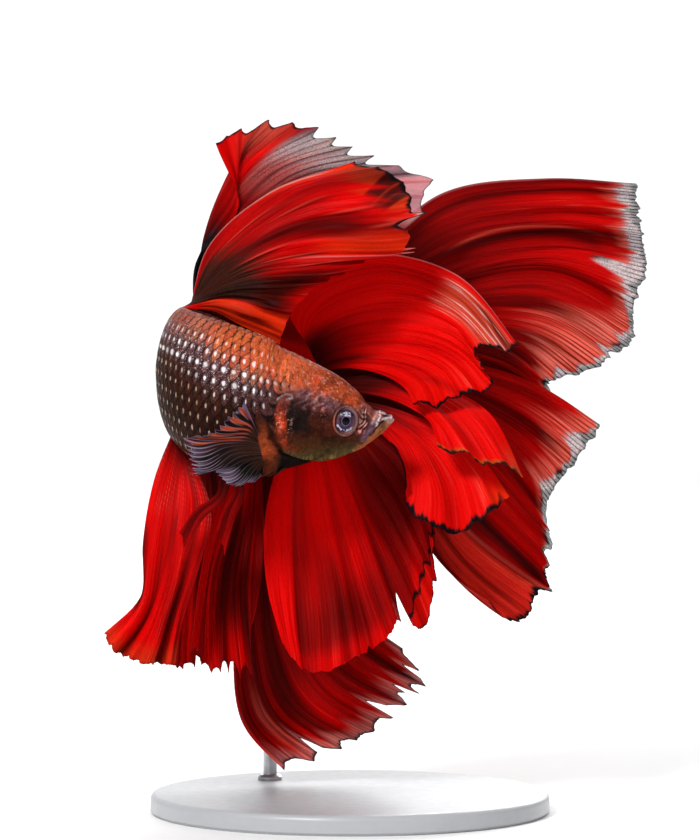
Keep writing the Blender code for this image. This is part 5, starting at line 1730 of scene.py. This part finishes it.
def lathe(name, profile, segments, material):
    """A closed solid turned from pairs of radius and height, from its foot to its top."""
    angles = np.linspace(0, TURN, segments, endpoint=False)
    radius, height = (np.repeat(column, segments) for column in zip(*profile))
    turns = np.tile(angles, len(profile))
    sides = np.stack([radius * np.cos(turns), radius * np.sin(turns), height], axis=1)
    points = np.concatenate([[(0.0, 0.0, profile[0][1])], sides, [(0.0, 0.0, profile[-1][1])]])
    foot = 1 + np.arange(segments)
    top = foot + len(sides) - segments
    faces = np.concatenate([
        grid_faces(len(profile), segments, closed=True, offset=1),
        wall(foot, np.zeros(segments, int))[:, ::-1],
        wall(top, np.full(segments, len(points) - 1)),
    ])
    return finish_solid(new_mesh(name, points, face_list(faces), material))


def build_base(white):
    """A disc with a rounded upper edge."""
    up, out = quarter(9)
    profile = [(BASE_RADIUS - BASE_FOOT, 0.0), (BASE_RADIUS, BASE_FOOT)]
    profile += [(BASE_RADIUS - BASE_EDGE * a, BASE_THICKNESS - BASE_EDGE * (1 - b)) for a, b in zip(out, up)]
    on_model(lathe("stand_disc", profile, 180, white), "stand_white", "stand_base")


def build_collar(steel):
    """A ring round the rod's foot."""
    wide, bevelled = ROD_RADIUS + COLLAR_SIZE, COLLAR_SIZE - COLLAR_BEVEL
    profile = [(wide, 0), (wide, bevelled), (ROD_RADIUS + bevelled, COLLAR_SIZE), (ROD_RADIUS, COLLAR_SIZE)]
    collar = lathe("stand_collar", profile, 64, steel)
    collar.location = (ROD_X * MM, ROD_Y * MM, BASE_THICKNESS * MM)
    on_model(collar, "stand_steel")


def build_rod(steel):
    """A round rod that rises from the base and bends towards the fish's tail."""
    segments = 40
    up, inward = quarter(17)
    path = [(ROD_X, ROD_Y, ROD_FOOT)]
    path += [(ROD_X, ROD_Y - ROD_BEND * a, ROD_TOP - ROD_BEND + ROD_BEND * b) for a, b in zip(inward, up)]
    path = np.array(path + [(ROD_X, ROD_END_Y, ROD_TOP)])
    across = np.array([1.0, 0.0, 0.0])
    lift = np.cross(unit(np.gradient(path, axis=0)), across)
    turns = np.linspace(0, TURN, segments, endpoint=False)[None, :, None]
    points = path[:, None, :] + ROD_RADIUS * (np.cos(turns) * across + np.sin(turns) * lift[:, None, :])
    count = len(path) * segments
    faces = face_list(grid_faces(len(path), segments, closed=True))
    faces += [tuple(range(segments)), tuple(range(count - segments, count))]
    rod = finish_solid(new_mesh("stand_rod_round", points.reshape(-1, 3), faces, steel))
    on_model(rod, "stand_steel", "stand_rod")


def area_light(name, place, aim, size, power, shine=True):
    """A round lamp at a place, turned to another. shine says whether it shows in reflections."""
    data = bpy.data.lights.new(name, "AREA")
    data.shape = "DISK"
    data.size = size
    data.energy = power
    light = link(bpy.data.objects.new(name, data))
    light.location = place
    light.rotation_euler = (Vector(aim) - Vector(place)).to_track_quat("-Z", "Y").to_euler()
    light.visible_glossy = shine


def build_studio():
    """A white floor that curves up into a wall, a key, a fill, a lamp behind the fins and one on the wall."""
    up, out = quarter(17)
    profile = [(-1.2, 0.0)] + [(1.0 + 0.5 * a, 0.5 * b) for a, b in zip(up, out)] + [(1.5, 2.4)]
    points = np.array([(x, y, z) for y, z in profile for x in (-2.4, 2.4)]) / MM
    white = plain_material("studio_white", (0.86, 0.86, 0.86), 0.9)
    new_mesh("studio_floor", points, face_list(grid_faces(len(profile), 2)), white)
    middle = (0.0, 0.0, 0.042)
    area_light("key", (-0.25, -0.42, 0.42), middle, 0.16, 3.6)
    area_light("fill", (0.50, -0.50, 0.12), middle, 0.5, 1.1, shine=False)
    area_light("back", (0.16, 0.45, 0.32), middle, 0.4, 2.2)
    area_light("wall", (0.0, 0.9, 1.4), (0.0, 1.5, 0.25), 1.2, 17.0)
    world = bpy.data.worlds.new("studio")
    world.use_nodes = True
    background = world.node_tree.nodes["Background"]
    background.inputs["Color"].default_value = (1.0, 1.0, 1.0, 1.0)
    background.inputs["Strength"].default_value = 0.26
    world.cycles_visibility.glossy = False
    bpy.context.scene.world = world


def build_camera():
    """The photograph's view, 2 degrees from above, with some room for the stand."""
    data = bpy.data.cameras.new("camera")
    camera = link(bpy.data.objects.new("camera", data))
    elevation = math.radians(2.0)
    distance, picture_height = 0.45, 0.084
    back = Vector((0.0, -math.cos(elevation), math.sin(elevation)))
    camera.location = Vector((0.0, 0.0, 0.0393)) + back * distance
    camera.rotation_euler = (-back).to_track_quat("-Z", "Y").to_euler()
    data.sensor_fit = "VERTICAL"
    data.sensor_height = 24.0
    data.lens = data.sensor_height * distance / picture_height
    data.clip_start = 0.01
    bpy.context.scene.camera = camera


def build_fins():
    """Every fin sheet over its solids."""
    red = fin_material("fish_fin_membrane")
    lilac = fin_material("fish_pectoral_membrane", LILAC_RAY)
    build_fin(
        "dorsal_front_sheet", rays(DORSAL_FRONT, dorsal_root), ["dorsal_fin_front"], "fin_red", red,
        paint_dorsal_front, size=(320, 110), tips=(2, 0.022, 2.4, 0.03),
        waves=[(4, 0.90, 0.10), (9, 0.55, 0.15), (19, 0.24, 0.25)], split=3, seed=1, sway=0.022,
        cuts=((0.475, 0.02, 0.06), (0.528, 0.008, -0.06), (0.552, 0.006, -0.045), (0.645, 0.02, 0.05),
              (0.672, 0.008, -0.05)),
    )
    build_fin(
        "dorsal_rear_sheet", rays(DORSAL_REAR, dorsal_root), ["dorsal_fin_rear"], "fin_dark_red", red,
        paint_dorsal_rear, size=(340, 90), tips=(1, 0.090, 1.7, 0.0), waves=[(4, 0.45, 0.3), (12, 0.16, 0.4)],
        split=1, seed=2,
        cuts=((0.036, 0.036, -0.060), (0.100, 0.024, -0.045), (0.508, 0.03, -0.045), (0.79, 0.19, 0.42),
              (1.0, 0.07, -0.10)),
    )
    build_fin(
        "tail_upper_front_sheet", rays(TAIL_UPPER_FRONT, near_tail_root), ["tail_fin_upper_front"], "fin_red",
        red, paint_upper_front, size=(240, 110), tips=(2, 0.007, 2.0, 0.035),
        waves=[(4, 0.55, 0.1), (9, 0.30, 0.2), (20, 0.08, 0.3)], split=5, seed=3,
    )
    build_fin(
        "tail_frill_upper_sheet", rays(TAIL_FRILL_UPPER, near_tail_root), ["tail_fin_frill_upper"], "fin_red",
        red, paint_frill_upper, size=(180, 100), tips=(2, 0.007, 1.6, 0.03),
        waves=[(2, 0.60, 0.4), (5, 0.22, 0.5)], split=3, seed=4,
    )
    build_fin(
        "tail_frill_lower_sheet", rays(TAIL_FRILL_LOWER, near_tail_root), ["tail_fin_frill_lower"], "fin_red",
        red, paint_frill, size=(200, 100), tips=(2, 0.010, 1.6, 0.05),
        waves=[(2, 0.60, 0.4), (6, 0.25, 0.5)], split=3, seed=5,
    )
    build_fin(
        "tail_near_sheet", rays(TAIL_NEAR, near_tail_root), ["tail_fin_lower_front", "tail_fin_lowest"],
        "fin_red", red, paint_near, size=(320, 100), tips=(2, 0.014, 2.0, 0.03),
        waves=[(5, 0.70, 0.1), (12, 0.34, 0.2), (27, 0.08, 0.3)], split=4, seed=6, sway=0.012,
        cuts=((0.452, 0.018, 0.13), (0.62, 0.01, 0.02)),
    )
    build_fin(
        "tail_far_sheet", rays(TAIL_FAR, far_tail_root),
        ["tail_fin_upper", "tail_fin_middle", "tail_fin_lower"], "fin_dark_red", red,
        paint_far, size=(520, 94), tips=(3, 0.010, 1.6, 0.050),
        waves=[(9, 0.80, 0.15), (20, 0.45, 0.25), (41, 0.19, 0.35)], split=6, seed=7,
        cuts=((0.19, 0.11, -0.030), (0.345, 0.02, 0.02), (0.80, 0.012, 0.03), (0.90, 0.01, 0.02)),
    )
    # The foremost ray starts further out and up than the solid's, so that the fin covers the belly's corner
    front = rays(ANAL_FRONT, ventral_root)
    front[-1, 0] += (-0.8, -0.4, 1.0)
    front[-2, 0] += (-0.2, -0.1, 0.3)
    build_fin(
        "anal_front_sheet", front, ["anal_fin_front"], "fin_red", red, paint_anal_front, size=(240, 100),
        tips=(2, 0.010, 1.6, 0.04), waves=[(2.3, 0.80, 0.1), (5, 0.30, 0.3)], split=5, seed=8,
    )
    build_fin(
        "anal_middle_sheet", rays(ANAL_MIDDLE, ventral_root), ["anal_fin_middle"], "fin_dark_red", red,
        paint_anal_middle, size=(200, 70), tips=(3, 0.04, 2.0, 0.03), waves=[(4, 0.45, 0.15), (9, 0.25, 0.3)],
        split=5, seed=9, cuts=((0.45, 0.55, -0.11),),
    )
    build_fin(
        "anal_inner_sheet", rays(ANAL_INNER, ventral_root), ["anal_fin_inner"], "fin_dark_red", red,
        paint_anal_inner, size=(200, 90), tips=(2, 0.070, 2.0, 0.03),
        waves=[(3, 0.65, 0.15), (7, 0.34, 0.3), (15, 0.10, 0.3)], split=4, seed=10, sway=0.02,
    )
    build_fin(
        "anal_rear_sheet", rays(ANAL_REAR, ventral_root), ["anal_fin_rear"], "fin_dark_red", red,
        paint_anal_rear, size=(340, 100), tips=(2, 0.060, 1.5, 0.06),
        waves=[(6, 0.65, 0.2), (13, 0.34, 0.3), (26, 0.10, 0.3)], split=6, seed=11, sway=0.03,
        cuts=((0.20, 0.02, 0.06), (0.60, 0.02, 0.07), (0.75, 0.015, 0.07), (0.88, 0.02, 0.06)),
    )
    for word, side, rows in (("right", -1, PECTORAL_RIGHT), ("left", 1, PECTORAL_LEFT)):
        build_fin(
            "pectoral_sheet_" + word, rays(rows, lambda place: flank_root(place, side)),
            ["pectoral_fin_" + word], "fin_lilac", lilac, paint_pectoral, size=(260, 60),
            tips=(4, 0.15, 1.2, 0.12), waves=[(5, 0.22, 0.2), (14, 0.12, 0.2)], split=2, seed=12, sway=-0.05,
            longer=0.3, thick=0.2,
        )
    for word, rows in (("right", PELVIC_RIGHT), ("left", PELVIC_LEFT)):
        build_fin(
            "pelvic_sheet_" + word, rays(rows, belly_root), ["pelvic_fin_" + word], "fin_red", red,
            paint_pelvic, size=(60, 70), tips=(1, 0.05, 2.0, 0.03), waves=[(1, 0.10, 0.2)], split=3, seed=14,
            sway=0.0, longer=0.2, thick=0.2,
        )


def main():
    """The whole model, and the studio round it."""
    build_skin(skin_material())
    build_scales(scale_material())
    eye = eye_material()
    build_eye(-1, "right", eye)
    build_eye(1, "left", eye)
    build_fins()
    build_base(plain_material("stand_grey_acrylic", (0.42, 0.43, 0.45), 0.32, grain=0.03))
    steel = plain_material("stand_brushed_steel", (0.60, 0.60, 0.62), 0.3, 1.0, 0.15)
    build_collar(steel)
    build_rod(steel)
    build_studio()
    build_camera()
    bpy.context.scene.view_settings.view_transform = "Standard"


main()
bpy.context.view_layer.update()
